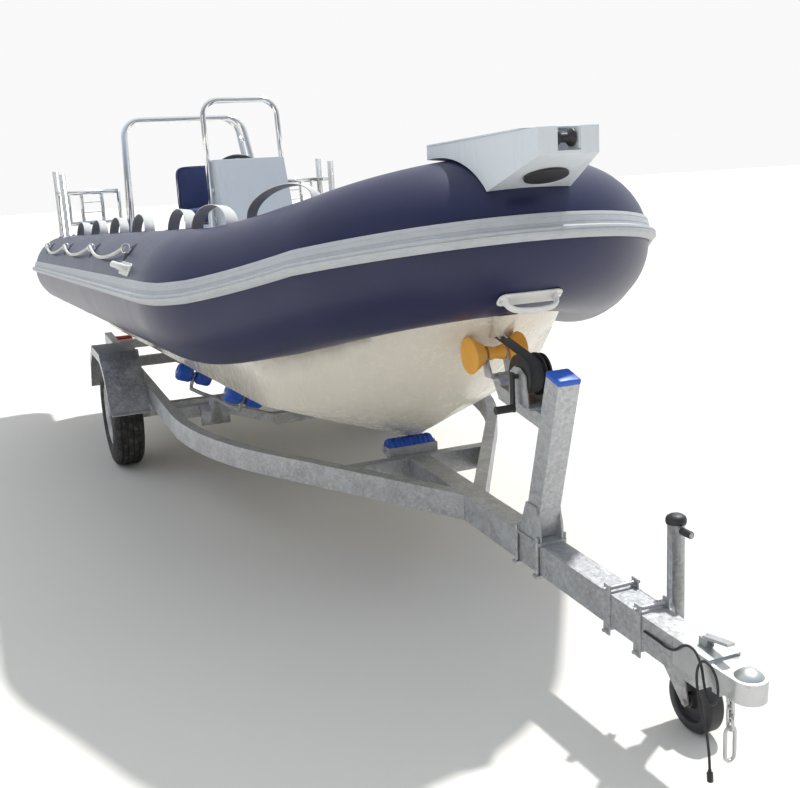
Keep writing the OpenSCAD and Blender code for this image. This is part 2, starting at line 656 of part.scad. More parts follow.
line_r = 8;
ring_x = [-1420, -440, 610, 1590];
ring_angle = strake_angle + 2 * side_step;
ring_lift = 30;
line_sag = 11;                  // how far the line hangs, degrees round the tube
line_span = 8;                  // points between two rings
function line_points(s) = concat([for (i = [0 : 2]) for (k = [0 : line_span - 1])
    let (t = k / line_span, x = lerp(ring_x[i], ring_x[i + 1], t))
    on_ring(aft_station(x), s, tube_r(x) + 20 + 10 * pow(1 - 2 * t, 4),
        ring_angle - line_sag * 4 * t * (1 - t))],
    [on_ring(aft_station(ring_x[3]), s, tube_r(ring_x[3]) + ring_lift, ring_angle)]);
module lifeline_port() color("white") row() pipe(line_points(1), line_r);
module lifeline_starboard() color("white") row() pipe(line_points(-1), line_r);
module lifeline_patches() {
    color(steel) row() for (s = [-1, 1]) for (x = ring_x)
        on_tube(aft_station(x), s, ring_angle, 0.7 - tube_r(x) * facet_sink) {
        translate([2, 0, 0]) rotate([0, 90, 0]) cylinder(h = 4, r = 36, center = true,
            $fn = 48);
        difference() {
            translate([22, 0, 0]) cube([40, 12, 34], center = true);
            translate([ring_lift - 0.7 + tube_r(x) * facet_sink, 0, 0])
                across(60, line_r + 1.5);
        }
    }
}

// ---------------------------------------------------------------- trailer frame
drawbar_half = drawbar_w / 2;
rail_taper = 30.7;              // heading of the rails towards the drawbar, degrees
rail_corner_x = 1503;
rail_bend_r = 1700;
rail_aft_x = -1450;
front_cross_x = 2240;
mid_cross_x = 850;
rear_cross_x = -480;
tail_cross_x = -1390;
cross_w = 50;
drawbar_aft_x = front_cross_x + cross_w / 2;
// Outline of one side rail in plan; d is the distance inboard of its outer face.
function rail_edge(d) = let (
    t = rail_bend_r * tan(rail_taper / 2),
    c = [rail_corner_x - t, rail_half - rail_bend_r],
    r = rail_bend_r - d,
    e = c + r * [sin(rail_taper), cos(rail_taper)],
    run = (e[1] + 60) / sin(rail_taper))
    concat([[rail_aft_x, rail_half - d]],
        [for (i = [0 : 8]) c + r * [sin(rail_taper * i / 8), cos(rail_taper * i / 8)]],
        [e + run * [cos(rail_taper), -sin(rail_taper)]]);
module side_rail(s) {
    color(steel) on_frame() mirror([0, s > 0 ? 0 : 1, 0]) translate([0, 0, -rail_h])
        linear_extrude(rail_h) intersection() {
            polygon(concat(rail_edge(0), reversed(rail_edge(rail_w))));
            translate([rail_aft_x - 1, drawbar_half]) square([5000, 900]);
        }
}
module side_rail_port() side_rail(1);
module side_rail_starboard() side_rail(-1);
module drawbar() {
    color(steel) on_frame() {
        translate([drawbar_aft_x, -drawbar_half, -rail_h])
            cube([drawbar_x - drawbar_aft_x, drawbar_w, rail_h]);
    }
}
// Space between the rails' inner faces.
module between_rails() {
    e = rail_edge(rail_w);
    polygon(concat(e, [for (p = reversed(e)) [p[0], -p[1]]]));
}
// Crossmember that drops in the middle to pass under the keel.
module dropped_beam(x, top, drop, depth) {
    intersection() {
        translate([x + cross_w / 2, 0, 0]) rotate([90, 0, -90]) linear_extrude(cross_w)
            polygon([[-rail_half, top], [-510, top], [-230, top - drop], [230, top - drop],
                [510, top], [rail_half, top], [rail_half, top - depth],
                [490, top - depth], [210, top - drop - depth], [-210, top - drop - depth],
                [-490, top - depth], [-rail_half, top - depth]]);
        translate([0, 0, -600]) linear_extrude(700) between_rails();
    }
}
cross_depth = 60;
mid_roller_x = 940;
rear_roller_x = -1260;
front_roller_x = front_cross_x - 80;
function roller_z(x) = keel_line(x) - keel_roller_r - 1.4;
// Drop that puts the middle of a crossmember's top at height z.
function cross_drop(x, z, top) = top - frame_h(x, z);
module crossmembers() {
    color(steel) on_frame() {
        translate([front_cross_x - cross_w / 2, 0, 0]) intersection() {
            translate([0, -rail_half, -rail_h]) cube([cross_w, 2 * rail_half, rail_h - 4]);
            translate([-front_cross_x + cross_w / 2, 0, -rail_h]) linear_extrude(rail_h)
                between_rails();
        }
        dropped_beam(mid_cross_x, -20, cross_drop(mid_cross_x, 375, -20), cross_depth);
        dropped_beam(rear_cross_x, -2, cross_drop(rear_cross_x, 370, -2), cross_depth);
        dropped_beam(tail_cross_x, -58, cross_drop(tail_cross_x, 318, -58), cross_depth);
    }
}

// ---------------------------------------------------------------- axle, wheels, fenders
axle_z = tyre_r;
axle_fx = frame_x(0, axle_z);
axle_fh = frame_h(0, axle_z);
axle_box = 50;
spring_half = 330;
spring_y = rail_half - rail_w / 2;
hub_in_y = wheel_y - tyre_w / 2 - 8;
module axle() {
    color(steel) on_frame() {
        translate([axle_fx, 0, axle_fh]) cube([axle_box, 2 * spring_y + 40, axle_box],
            center = true);
        translate([axle_fx, 0, axle_fh]) across(2 * (wheel_y + 62), stub_r);
        for (s = [-1, 1]) translate([axle_fx, s * spring_y, axle_fh]) {
            for (k = [0 : 2]) translate([0, 0, axle_box / 2 + 4 + k * 8])
                cube([2 * (spring_half - 90 * (2 - k)), 45, 8.2], center = true);
            for (q = [-1, 1]) {
                translate([q * 45, 0, 20]) cube([12, 50, 110], center = true);
                translate([q * (spring_half - 8), 0,
                    (-rail_h - axle_fh + axle_box / 2 + 15) / 2])
                    cube([16, 45, -rail_h - axle_fh - axle_box / 2 - 15], center = true);
            }
        }
    }
}
rim_gap = seat_gap;
module wheel_rim(s) {
    color("white") row() translate([0, s * wheel_y, axle_z]) rotate([-90 * s, 0, 0])
        difference() {
            rotate_extrude($fn = 96) polygon([
                [stub_r + run_gap, -55], [44, -55], [44, 8], [60, 16], [118, 16], [128, 4],
                [150, -8], [150, -58], [rim_r - 2, -66], [rim_r - 2, -70], [rim_r + 8, -74],
                [rim_r + 8, -70.5], [rim_r - rim_gap, -64], [156, -50], [156, 50],
                [rim_r - rim_gap, 64], [rim_r + 8, 70.5], [rim_r + 8, 74], [rim_r - 2, 70],
                [150, 58], [150, 2], [132, 16], [122, 26], [62, 26], [44, 36], [44, 62],
                [stub_r + run_gap, 62]]);
            for (a = [0 : 45 : 315]) rotate([0, 0, a]) translate([96, 0, 21])
                cylinder(h = 40, r = 13, center = true, $fn = 24);
            for (a = [0 : 72 : 288]) rotate([0, 0, a + 22]) translate([54, 0, 21])
                cylinder(h = 60, r = 6.5, center = true, $fn = 24);
        }
}
module wheel_rim_port() wheel_rim(1);
module wheel_rim_starboard() wheel_rim(-1);
module tyre(s) {
    w = tyre_w / 2;
    color([0.06, 0.06, 0.06]) row() translate([0, s * wheel_y, axle_z]) rotate([90, 0, 0])
        rotate_extrude($fn = 96) polygon([
            [rim_r, -63], [rim_r + 9, -68.5], [rim_r + 40, -w], [rim_r + 82, -w + 2],
            [tyre_r - 16, -w + 14], [tyre_r - 2, -w + 30], [tyre_r, 0], [tyre_r - 2, w - 30],
            [tyre_r - 16, w - 14], [rim_r + 82, w - 2], [rim_r + 40, w], [rim_r + 9, 68.5],
            [rim_r, 63], [rim_r + 10, 50], [rim_r + 60, 72], [tyre_r - 30, 60],
            [tyre_r - 30, -60], [rim_r + 60, -72], [rim_r + 10, -50]]);
}
module tyre_port() tyre(1);
module tyre_starboard() tyre(-1);

fender_t = 3;
fender_in = wheel_y - tyre_w / 2 - 12;
fender_out = wheel_y + tyre_w / 2 + 22;
fender_top = 690;
fender_path = [[-445, 400], [-330, 590], [-180, fender_top], [180, fender_top], [330, 590],
    [445, 400]];
module fender(s) {
    n = len(fender_path);
    inner = [for (p = fender_path) [p[0] * (1 - fender_t / 400), p[1] - fender_t * 1.05]];
    side_w = s > 0 ? 0 : 1;
    color(steel) row() mirror([0, side_w, 0]) {
        translate([0, fender_out, 0]) rotate([90, 0, 0])
            linear_extrude(fender_out - fender_in) polygon(concat(fender_path,
                reversed(inner)));
        translate([0, fender_out + fender_t, 0]) rotate([90, 0, 0]) linear_extrude(fender_t)
            polygon(concat(fender_path, [[420, 400], [310, 560], [165, 640], [-165, 640],
                [-310, 560], [-420, 400]]));
        translate([445 - 3, fender_in, 396]) cube([70, fender_out - fender_in, 4]);
        for (x = [-150, 150]) {
            translate([x - 20, rail_half + seat_gap, 455]) cube([40, 6, fender_top - 457]);
            translate([x - 20, rail_half + seat_gap, fender_top - 9]) cube([40, 50, 7]);
        }
    }
}
module fender_port() fender(1);
module fender_starboard() fender(-1);

module tail_lamps() {
    on_frame() for (s = [-1, 1]) {
        color("red") translate([rail_aft_x - 34, s * 700, -82]) cube([28, 190, 80],
            center = true);
        color(steel) translate([rail_aft_x - 10.2, s * 720, -72]) cube([19.8, 150, 50],
            center = true);
    }
}

// ---------------------------------------------------------------- keel rollers
ear_t = 6;
module keel_roller(x, z) {
    rr = keel_roller_r;
    color(roller_blue) row() translate([x, 0, z]) rotate([90, 0, 0])
        rotate_extrude($fn = 64) polygon(concat(
            [[roller_pin_r + run_gap, -keel_roller_half], [rr - 4, -keel_roller_half]],
            [for (k = [-4 : 4]) each [[rr, k * 21 - 6], [rr, k * 21 + 6], [rr - 4, k * 21 + 8],
                [rr - 4, k * 21 + 12]]],
            [[rr - 4, keel_roller_half], [roller_pin_r + run_gap, keel_roller_half]]));
}
module keel_roller_front() keel_roller(front_roller_x, roller_z(front_roller_x));
module keel_roller_mid() keel_roller(mid_roller_x, roller_z(mid_roller_x));
module keel_roller_rear() keel_roller(rear_roller_x, roller_z(rear_roller_x));
ear_y = keel_roller_half + 5 + ear_t / 2;
// Bracket of one keel roller: a plate against its crossmember's face, two ears and a pin.
module roller_bracket(x, face) {
    z = roller_z(x);
    dir = face > x ? 1 : -1;
    plate = face - dir * seat_gap;
    translate([plate - dir * 3, 0, z - 28]) cube([6, 2 * ear_y + ear_t, 80], center = true);
    for (s = [-1, 1]) {
        translate([(x - dir * 22 + plate) / 2, s * ear_y, z - 6]) cube([abs(plate - x) + 22,
            ear_t, 36], center = true);
        translate([x, s * (ear_y + ear_t / 2 + 3), z]) across(8, 15);
    }
    translate([x, 0, z]) across(2 * ear_y + 20, roller_pin_r);
}
// World place of the face of a crossmember at the height of a roller.
function face_x(cx, rx) = cx + (roller_z(rx) - 28 - frame_z) * sin(frame_pitch);
module roller_brackets() {
    color(steel) row() {
        roller_bracket(front_roller_x, face_x(front_cross_x, front_roller_x) - cross_w / 2 - 0.5);
        roller_bracket(mid_roller_x, face_x(mid_cross_x, mid_roller_x) + cross_w / 2 + 0.5);
        roller_bracket(rear_roller_x, face_x(tail_cross_x, rear_roller_x) + cross_w / 2 + 0.5);
    }
}

// ---------------------------------------------------------------- side cradles
cradle_r = 45;
cradle_len = 80;
cradle_aft = [640, 590];
cradle_fore = [1270, 480];
cradle_post = [mid_cross_x + 58, 545];
function cradle_z(p) = bottom_z(p[0], p[1]) - (cradle_r + 6) / cos(bottom_tilt);
module cradle_tilt(p, s) translate([p[0], s * p[1], cradle_z(p)])
    rotate([s * bottom_tilt, 0, 0]) children();
module cradle_rollers(s) {
    color(roller_blue) row() for (p = [cradle_aft, cradle_fore]) cradle_tilt(p, s)
        for (q = [-1, 1]) translate([0, q * (cradle_len / 2 + 12), 0]) rotate([90, 0, 0])
            difference() {
                rotate_extrude($fn = 48) polygon([[roller_pin_r + seat_gap, -cradle_len / 2],
                    [cradle_r - 8, -cradle_len / 2], [cradle_r, -cradle_len / 2 + 12],
                    [cradle_r, cradle_len / 2 - 12], [cradle_r - 8, cradle_len / 2],
                    [roller_pin_r + seat_gap, cradle_len / 2]]);
            }
}
module cradle_rollers_port() cradle_rollers(1);
module cradle_rollers_starboard() cradle_rollers(-1);
// Step of length d straight down between a tilted pair of rollers.
function stem_down(s, d) = [0, s * d * sin(bottom_tilt), -d * cos(bottom_tilt)];
module cradle(s) {
    a = [cradle_aft[0], s * cradle_aft[1], cradle_z(cradle_aft)];
    f = [cradle_fore[0], s * cradle_fore[1], cradle_z(cradle_fore)];
    p = [cradle_post[0], s * cradle_post[1], 512];
    face = mid_cross_x + cross_w / 2 + (425 - frame_z) * sin(frame_pitch) + 3.1;
    color(steel) row() {
        for (e = [cradle_aft, cradle_fore]) cradle_tilt(e, s) {
            across(2 * cradle_len + 40, roller_pin_r);
            cube([34, 16, 30], center = true);
        }
        pipe([a + stem_down(s, 8), a + stem_down(s, 58), a + stem_down(s, 74) + [18, 0, 0],
            lerp(a + stem_down(s, 80), p, 0.4), p, lerp(p, f + stem_down(s, 80), 0.6),
            f + stem_down(s, 74) - [18, 0, 0], f + stem_down(s, 58), f + stem_down(s, 8)], 10, 8);
        translate([p[0], p[1], 455]) cube([44, 56, 130], center = true);
        translate([(face + p[0] - 20) / 2, p[1], 425]) cube([p[0] - 20 - face, 150, 110],
            center = true);
    }
}
module cradle_port() cradle(1);
module cradle_starboard() cradle(-1);

// ---------------------------------------------------------------- winch post and bow stop
post_x = 3243;
post_lean = 14.5;
post_w = 76;
post_len = 590;
arm_z = 395;                    // along the post
module on_post() on_frame() translate([post_x, 0, 0]) rotate([0, post_lean, 0]) children();
module winch_post() {
    color(steel) {
        on_post() translate([-post_w / 2, -post_w / 2, 22]) cube([post_w, post_w,
            post_len - 22]);
        on_frame() {
            translate([post_x - 75, -drawbar_half - 6, seat_gap]) cube([160,
                drawbar_w + 12, 10]);
            for (s = [-1, 1]) translate([post_x, s * (post_w / 2 + 3), 0]) rotate([90, 0, 0])
                linear_extrude(8, center = true) polygon([[-60, 5], [80, 5], [75, 60],
                    [55, 125], [-10, 125]]);
            for (x = [-62, 72]) for (s = [-1, 1]) translate([post_x + x,
                s * (drawbar_half + 6.5), -rail_h - 8]) cylinder(h = rail_h + 36, r = 6,
                    $fn = 24);
            for (x = [-62, 72]) translate([post_x + x - 14, -drawbar_half - 16,
                -rail_h - 10]) cube([28, drawbar_w + 32, 9.7]);
        }
    }
}
bow_roller_x = 2967;
bow_roller_z = 987;
sleeve_r = 13;                  // the bow roller's own axle
fork_y = 40;
arm_foot = [3330, 812];
arm_knee = [3036, 862];
arm_w = 44;
arm_h = 50;
drum_x = 3195;
drum_z = 948;
drum_half = 34;
drum_r = 56;
function arm_top_at(x) = lerp(arm_knee[1], arm_foot[1],
    (x - arm_knee[0]) / (arm_foot[0] - arm_knee[0])) + arm_h / 2;
// Box bar in the middle plane between two points given as [x, z].
module box_bar(a, b, h, w) {
    v = b - a;
    translate([a[0], 0, a[1]]) rotate([0, -atan2(v[1], v[0]), 0]) translate([-8, -w / 2, -h / 2])
        cube([norm(v) + 16, w, h]);
}
module post_space() translate([0, 0, frame_z]) rotate([0, frame_pitch, 0])
    translate([post_x, 0, 0]) rotate([0, post_lean, 0])
    translate([-post_w / 2 - seat_gap, -100, 0]) cube([400, 200, 700]);
module winch_arm() {
    root = [bow_roller_x + 36, bow_roller_z - 78];
    color(steel) row() {
        difference() {
            box_bar(arm_foot, arm_knee, arm_h, arm_w);
            post_space();
        }
        box_bar(arm_knee, root, 44, arm_w - 4);
        translate([root[0] - 4, 0, root[1] + 4]) cube([50, 2 * fork_y + 5, 8], center = true);
        for (s = [-1, 1]) translate([0, s * fork_y, 0]) rotate([90, 0, 0]) difference() {
            linear_extrude(8, center = true) {
                polygon([[root[0] - 29, root[1]], [root[0] + 21, root[1]],
                    [bow_roller_x + 15, bow_roller_z + 5], [bow_roller_x - 15,
                    bow_roller_z - 5]]);
                translate([bow_roller_x, bow_roller_z]) circle(r = 20, $fn = 48);
            }
            translate([bow_roller_x, bow_roller_z, 0]) cylinder(h = 20, r = sleeve_r + run_gap,
                center = true, $fn = 64);
        }
    }
    color([0.1, 0.1, 0.1]) row() {
        box_bar([drum_x + 66, arm_top_at(drum_x + 66) + 2.5],
            [drum_x - 66, arm_top_at(drum_x - 66) + 2.5], 6, 2 * drum_half + 11);
        for (s = [-1, 1]) translate([drum_x, s * (drum_half + 4), 0]) rotate([90, 0, 0])
            difference() {
                linear_extrude(5, center = true) polygon([
                    [-62, arm_top_at(drum_x - 62) + 3], [62, arm_top_at(drum_x + 62) + 3],
                    [50, drum_z + 10], [20, drum_z + 30], [-20, drum_z + 30],
                    [-50, drum_z + 10]]);
                translate([0, drum_z, 0]) cylinder(h = 20, r = 8.2, center = true, $fn = 48);
            }
    }
}
module bow_roller() {
    h = bow_roller_half;
    f = fork_y;
    half = [[sleeve_r, f + 6], [34, f + 7], [60, h - 14], [64, h - 5], [60, h]];
    color([0.95, 0.6, 0.1]) row() translate([bow_roller_x, 0, bow_roller_z])
        rotate([90, 0, 0]) rotate_extrude($fn = 64) polygon(concat(
            [[0, -h]], [for (i = [4 : -1 : 0]) [half[i][0], -half[i][1]]],
            [[sleeve_r, 6 - f], [27, 8 - f], [20, 0], [27, f - 8], [sleeve_r, f - 6]],
            half, [[0, h]]));
}
module winch_drum() {
    color([0.08, 0.08, 0.08]) row() translate([drum_x, 0, drum_z]) {
        across(2 * drum_half - 6, drum_r);
        for (s = [-1, 1]) translate([0, s * (drum_half - 3), 0]) across(4, 70);
    }
    crank_y = drum_half + 26;
    color(steel) row() translate([drum_x, 0, drum_z]) {
        across(2 * crank_y + 10, 8);
        translate([0, drum_half + 16, 0]) across(6, 66);
        translate([0, -crank_y, -50]) cube([22, 8, 130], center = true);
    }
    color([0.3, 0.25, 0.22]) row() translate([drum_x, -crank_y - 30, drum_z - 103])
        across(68, 13);
}
web_half = 24;
module winch_strap() {
    slack = bow_eye_r - 6 - seat_gap;
    d0 = [drum_x - bow_eye[0], drum_z - bow_eye[1]];
    aim = atan2(-d0[1], d0[0]) - asin((drum_r + 2.3) / norm(d0));
    pin = bow_eye + slack * [cos(aim), -sin(aim)];
    d = [drum_x - pin[0], drum_z - pin[1]];
    turn = atan2(-d[1], d[0]) - asin((drum_r + 2.3) / norm(d));
    reach = sqrt(norm(d) * norm(d) - pow(drum_r + 2.3, 2));
    color("black") row() translate([pin[0], 0, pin[1]]) rotate([0, turn, 0])
        translate([26, -web_half, -2]) cube([reach - 26, 2 * web_half, 4]);
    color(steel) row() translate([pin[0], 0, pin[1]]) rotate([0, turn, 0]) {
        across(32, 6);
        for (s = [-1, 1]) translate([15, s * 12, 0]) cube([44, 8, 13], center = true);
    }
}

// ---------------------------------------------------------------- coupler and chain
ball_x = 4235;
ball_z = 352;
coupler_t = 5;
module coupler() {
    bx = frame_x(ball_x, ball_z);
    color([0.72, 0.7, 0.66]) on_frame() difference() {
        union() {
            translate([drawbar_x - 100, -drawbar_half - coupler_t - seat_gap, -72])
                cube([100 + 40, drawbar_w + 2 * coupler_t + 2 * seat_gap, 72 + seat_gap
                    + coupler_t]);
            translate([0, 0, -62]) linear_extrude(58) {
                polygon([[drawbar_x + 30, -drawbar_half - coupler_t], [bx, -46], [bx, 46],
                    [drawbar_x + 30, drawbar_half + coupler_t]]);
                translate([bx, 0]) circle(r = 46, $fn = 64);
            }
            translate([bx, 0, -32]) sphere(r = 46, $fn = 48);
        }
        translate([drawbar_x - 200, -drawbar_half - seat_gap, -120])
            cube([200 + seat_gap, drawbar_w + 2 * seat_gap, 120 + seat_gap]);
        translate([drawbar_x + 8, -38, -120]) cube([60, 76, 100]);
        translate([bx, 0, -100]) cylinder(h = 60, r = 26, $fn = 64);
        translate([bx, 0, -40]) sphere(r = 26, $fn = 48);
        translate([bx - 120, -100, -200]) cube([300, 200, 138]);
    }
}
module coupler_lever() {
    bx = frame_x(ball_x, ball_z);
    color(steel) on_frame() {
        translate([drawbar_x - 30, 0, coupler_t + 14]) across(30, 7);
        for (s = [-1, 1]) translate([drawbar_x - 30, s * 12, coupler_t + 12])
            cube([26, 6, 22], center = true);
        translate([drawbar_x - 32, -12, coupler_t + 18]) rotate([0, -12, 0])
            cube([96, 24, 8]);
    }
}
link_r = 4.5;
link_l = 34;
chain_links = 4;
chain_x = 4172;
chain_top = frame_z - frame_x(chain_x, 316) * sin(frame_pitch) - 62 - 28.3;
module chain_link(l, w, r) {
    loop_pipe(concat(
        [for (a = [0 : 30 : 180]) [0, w / 2 * cos(a), (l - w) / 2 + w / 2 * sin(a)]],
        [for (a = [180 : 30 : 360]) [0, w / 2 * cos(a), -(l - w) / 2 + w / 2 * sin(a)]]), r);
}
module safety_chain() {
    color(steel) row() {
        for (i = [0 : chain_links - 1]) translate([chain_x, 0, chain_top - i * 25])
            rotate([0, 0, 90 * (i % 2)]) chain_link(link_l + 6, 17, link_r);
        translate([chain_x, 0, chain_top - chain_links * 25 - 34])
            rotate([0, 0, 90 * (chain_links % 2)]) chain_link(96, 30, 5);
        translate([chain_x, 0, chain_top + 22]) cube([30, 94, 11], center = true);
    }
}

// Wiring that loops round the coupler and hangs down with a bare end.
cord_r = 3.5;
cord_route = [[3880, -49, 352], [3940, -49, 350], [3985, -52, 350], [4020, -55, 360],
    [4050, -56, 384], [4080, -58, 398], [4110, -60, 394], [4134, -62, 368], [4146, -64, 334],
    [4160, -67, 304], [4180, -70, 290], [4200, -73, 300], [4212, -74, 330], [4206, -74, 368],
    [4186, -74, 392], [4160, -75, 396], [4142, -76, 378], [4138, -79, 346], [4148, -82, 306],
    [4166, -84, 262], [4184, -84, 214], [4194, -84, 166], [4198, -84, 122]];
module wiring_cord() color([0.05, 0.05, 0.05]) row() pipe(cord_route, cord_r);

// ---------------------------------------------------------------- jockey wheel
swing_z = 345;
swing_pin_r = 14;
jockey_foot_z = 205;
module jockey_clamp() {
    fx = frame_x(jockey_x, swing_z);
    fh = frame_h(jockey_x, swing_z);
    color(steel) on_frame() {
        for (q = [-1, 1]) {
            x = fx + q * 73;
            for (s = [-1, 1]) translate([x, s * (drawbar_half + seat_gap + 2.5), -rail_h / 2])
                cube([30, 5, rail_h + 56], center = true);
            for (h = [14, -rail_h - 14]) translate([x, 0, h]) across(drawbar_w + 34, 6);
        }
        translate([fx, drawbar_half + seat_gap + 5 + 3, fh]) cube([176, 6, 90],
            center = true);
    }
    color([0.1, 0.1, 0.1]) row() translate([jockey_x, drawbar_half + 8, swing_z])
        rotate([-90, 0, 0]) cylinder(h = jockey_y - jockey_tube_r - drawbar_half - 8 - 6.6,
            r = swing_pin_r, $fn = 48);
}
module jockey_leg() {
    color(steel) row() {
        difference() {
            union() {
                translate([jockey_x, jockey_y, jockey_foot_z]) cylinder(h = 390,
                    r = jockey_tube_r, $fn = 64);
                translate([jockey_x, jockey_y - jockey_tube_r + 3, swing_z])
                    rotate([90, 0, 0]) cylinder(h = 28, r = swing_pin_r + 12, $fn = 48);
            }
            translate([jockey_x, jockey_y - jockey_tube_r - 6, swing_z]) rotate([90, 0, 0])
                cylinder(h = 60, r = swing_pin_r + run_gap, $fn = 64);
            translate([jockey_x, jockey_y, jockey_foot_z - 1]) cylinder(h = 130,
                r = 16 + run_gap, $fn = 64);
        }
        translate([jockey_x, jockey_y, jockey_foot_z + 390]) cylinder(h = 16,
            r = jockey_tube_r + 3, $fn = 48);
        translate([jockey_x + 20, jockey_y, jockey_foot_z + 376]) rotate([0, 90, 0])
            cylinder(h = 50, r = 8, $fn = 32);
    }
}
fork_in = 36;
wheel_half = 28;
module jockey_fork() {
    wx = jockey_x + jockey_trail;
    color(steel) row() {
        translate([jockey_x, jockey_y, jockey_foot_z - 12]) cylinder(h = 122, r = 16,
            $fn = 64);
        translate([jockey_x, jockey_y, jockey_foot_z - 12]) cylinder(h = 6.5,
            r = jockey_tube_r + 4, $fn = 48);
        translate([jockey_x - 34, jockey_y - fork_in - 5, jockey_foot_z - 12])
            cube([120, 2 * fork_in + 10, 6]);
        for (s = [-1, 1]) translate([0, jockey_y + s * (fork_in + 2.5), 0])
            rotate([90, 0, 0]) linear_extrude(5, center = true) polygon([
                [jockey_x - 34, jockey_foot_z - 6], [jockey_x + 86, jockey_foot_z - 6],
                [wx + 16, jockey_r], [wx, jockey_r - 16], [wx - 16, jockey_r - 6]]);
        translate([wx, jockey_y, jockey_r]) across(2 * fork_in + 22, 8);
    }
}
module jockey_wheel() {
    color([0.1, 0.1, 0.1]) row() translate([jockey_x + jockey_trail, jockey_y, jockey_r])
        rotate([90, 0, 0]) rotate_extrude($fn = 96) polygon([[8 + run_gap, -30], [20, -30],
            [24, -14], [58, -12], [64, -wheel_half], [jockey_r - 8, -wheel_half],
            [jockey_r, -wheel_half + 8], [jockey_r, wheel_half - 8],
            [jockey_r - 8, wheel_half], [64, wheel_half], [58, 12], [24, 14], [20, 30],
            [8 + run_gap, 30]]);
}

hull();
deck();
collar();
rubbing_strake();
bow_locker();
locker_lid();
vent_cover();
anchor_roller();
stem_plate();
console();
console_hoop();
steering_wheel();
seat_base();
seat_cushion();
seat_backrest();
stern_arch();
stern_frame_port();
stern_frame_starboard();
grab_straps_port();
grab_straps_starboard();
carry_handles();
lifeline_port();
lifeline_starboard();
lifeline_patches();
drawbar();
side_rail_port();
side_rail_starboard();
crossmembers();
axle();
wheel_rim_port();
wheel_rim_starboard();
tyre_port();
tyre_starboard();
fender_port();
fender_starboard();
roller_brackets();
keel_roller_front();
keel_roller_mid();
keel_roller_rear();
cradle_port();
cradle_starboard();
cradle_rollers_port();
cradle_rollers_starboard();
winch_post();
winch_arm();
bow_roller();
winch_drum();
winch_strap();
coupler();
coupler_lever();
jockey_clamp();
jockey_leg();
jockey_fork();
jockey_wheel();
safety_chain();
wiring_cord();
tail_lamps();
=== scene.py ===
"""Looks of a rigid inflatable boat on its road trailer, built round the fixed frame.

Every new piece is a surface worked out as whole arrays. Row frame: +X bow, +Y port, +Z up."""

import json
import math

import bmesh
import bpy
import numpy as np
from mathutils import Matrix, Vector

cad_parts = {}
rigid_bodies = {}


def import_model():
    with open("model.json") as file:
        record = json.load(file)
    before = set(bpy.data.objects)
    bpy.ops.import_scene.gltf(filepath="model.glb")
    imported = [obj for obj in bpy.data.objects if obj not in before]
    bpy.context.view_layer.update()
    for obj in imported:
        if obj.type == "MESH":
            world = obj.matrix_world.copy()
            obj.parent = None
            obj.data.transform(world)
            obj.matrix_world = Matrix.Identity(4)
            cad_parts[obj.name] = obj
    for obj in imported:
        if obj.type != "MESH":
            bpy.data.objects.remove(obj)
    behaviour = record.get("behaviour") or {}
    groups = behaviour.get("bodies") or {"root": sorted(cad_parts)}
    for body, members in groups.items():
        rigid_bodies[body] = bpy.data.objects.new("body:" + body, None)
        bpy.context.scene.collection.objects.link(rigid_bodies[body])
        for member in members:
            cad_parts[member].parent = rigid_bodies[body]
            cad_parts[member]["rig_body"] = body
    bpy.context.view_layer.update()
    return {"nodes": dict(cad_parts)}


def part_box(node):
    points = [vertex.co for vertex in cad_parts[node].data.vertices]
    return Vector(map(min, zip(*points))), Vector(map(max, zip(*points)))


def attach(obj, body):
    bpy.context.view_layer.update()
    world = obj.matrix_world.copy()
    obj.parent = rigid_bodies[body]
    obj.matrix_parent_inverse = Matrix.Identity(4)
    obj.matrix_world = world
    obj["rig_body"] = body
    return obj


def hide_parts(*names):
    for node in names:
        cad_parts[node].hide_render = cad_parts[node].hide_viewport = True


bl_info = {
    "name": "Inflatable boat on trailer",
    "version": (1, 0, 0),
    "blender": (4, 5, 0),
    "location": "View3D > Sidebar > Boat",
    "description": "Surfaces, finishes and stage for a rigid inflatable boat on a trailer",
    "category": "Object",
}

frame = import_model()
ROOT = "boat_and_trailer"
MID_X = 1101.42  # plan middle of the model in the drawing's millimetres


def row(points):
    """Drawing millimetres to row-frame metres: x less MID_X, all over 1000."""
    return (np.asarray(points, float) - [MID_X, 0.0, 0.0]) / 1000.0


# ---------------------------------------------------------------- the inflated tube's lines
STERN_X, BOW_X, SHOULDER_X = -1885.0, 3035.0, 2200.0
AFT_TAPER, BOW_TAPER = math.atan(160 / 4085), math.radians(30)
BEND_R, BOW_R = 600.0, 524.66
BEND_C, BOW_C = np.array([2028.39, 191.26]), np.array([BOW_X - BOW_R, 0.0])
R_STERN, R_BOW = 235.0, 259.0
STRAKE, SIDE_STEP = math.radians(8.6), math.radians(18)
FACET = 1 - math.cos(SIDE_STEP / 2)
SEAMS = np.array([-1330, -250, 840, 1790, 2560])  # where tape goes round the tube
LINE_RINGS = np.array([-1420.0, -440.0, 610.0, 1590.0])


def tube_z(x):
    """Height of the tube's centre: a straight climb to the shoulder, then a power 1.3 sweep."""
    x = np.asarray(x, float)
    aft = 1020 + 162 * (x - STERN_X) / (SHOULDER_X - STERN_X)
    bow = 1182 + 204 * (np.maximum(x - SHOULDER_X, 0) / (BOW_X - SHOULDER_X)) ** 1.3
    return np.where(x < SHOULDER_X, aft, bow)


def tube_r(x):
    """Radius of the tube, growing straight from the stern to the shoulder."""
    share = (np.asarray(x, float) - STERN_X) / (SHOULDER_X - STERN_X)
    return R_STERN + (R_BOW - R_STERN) * np.minimum(1, share)


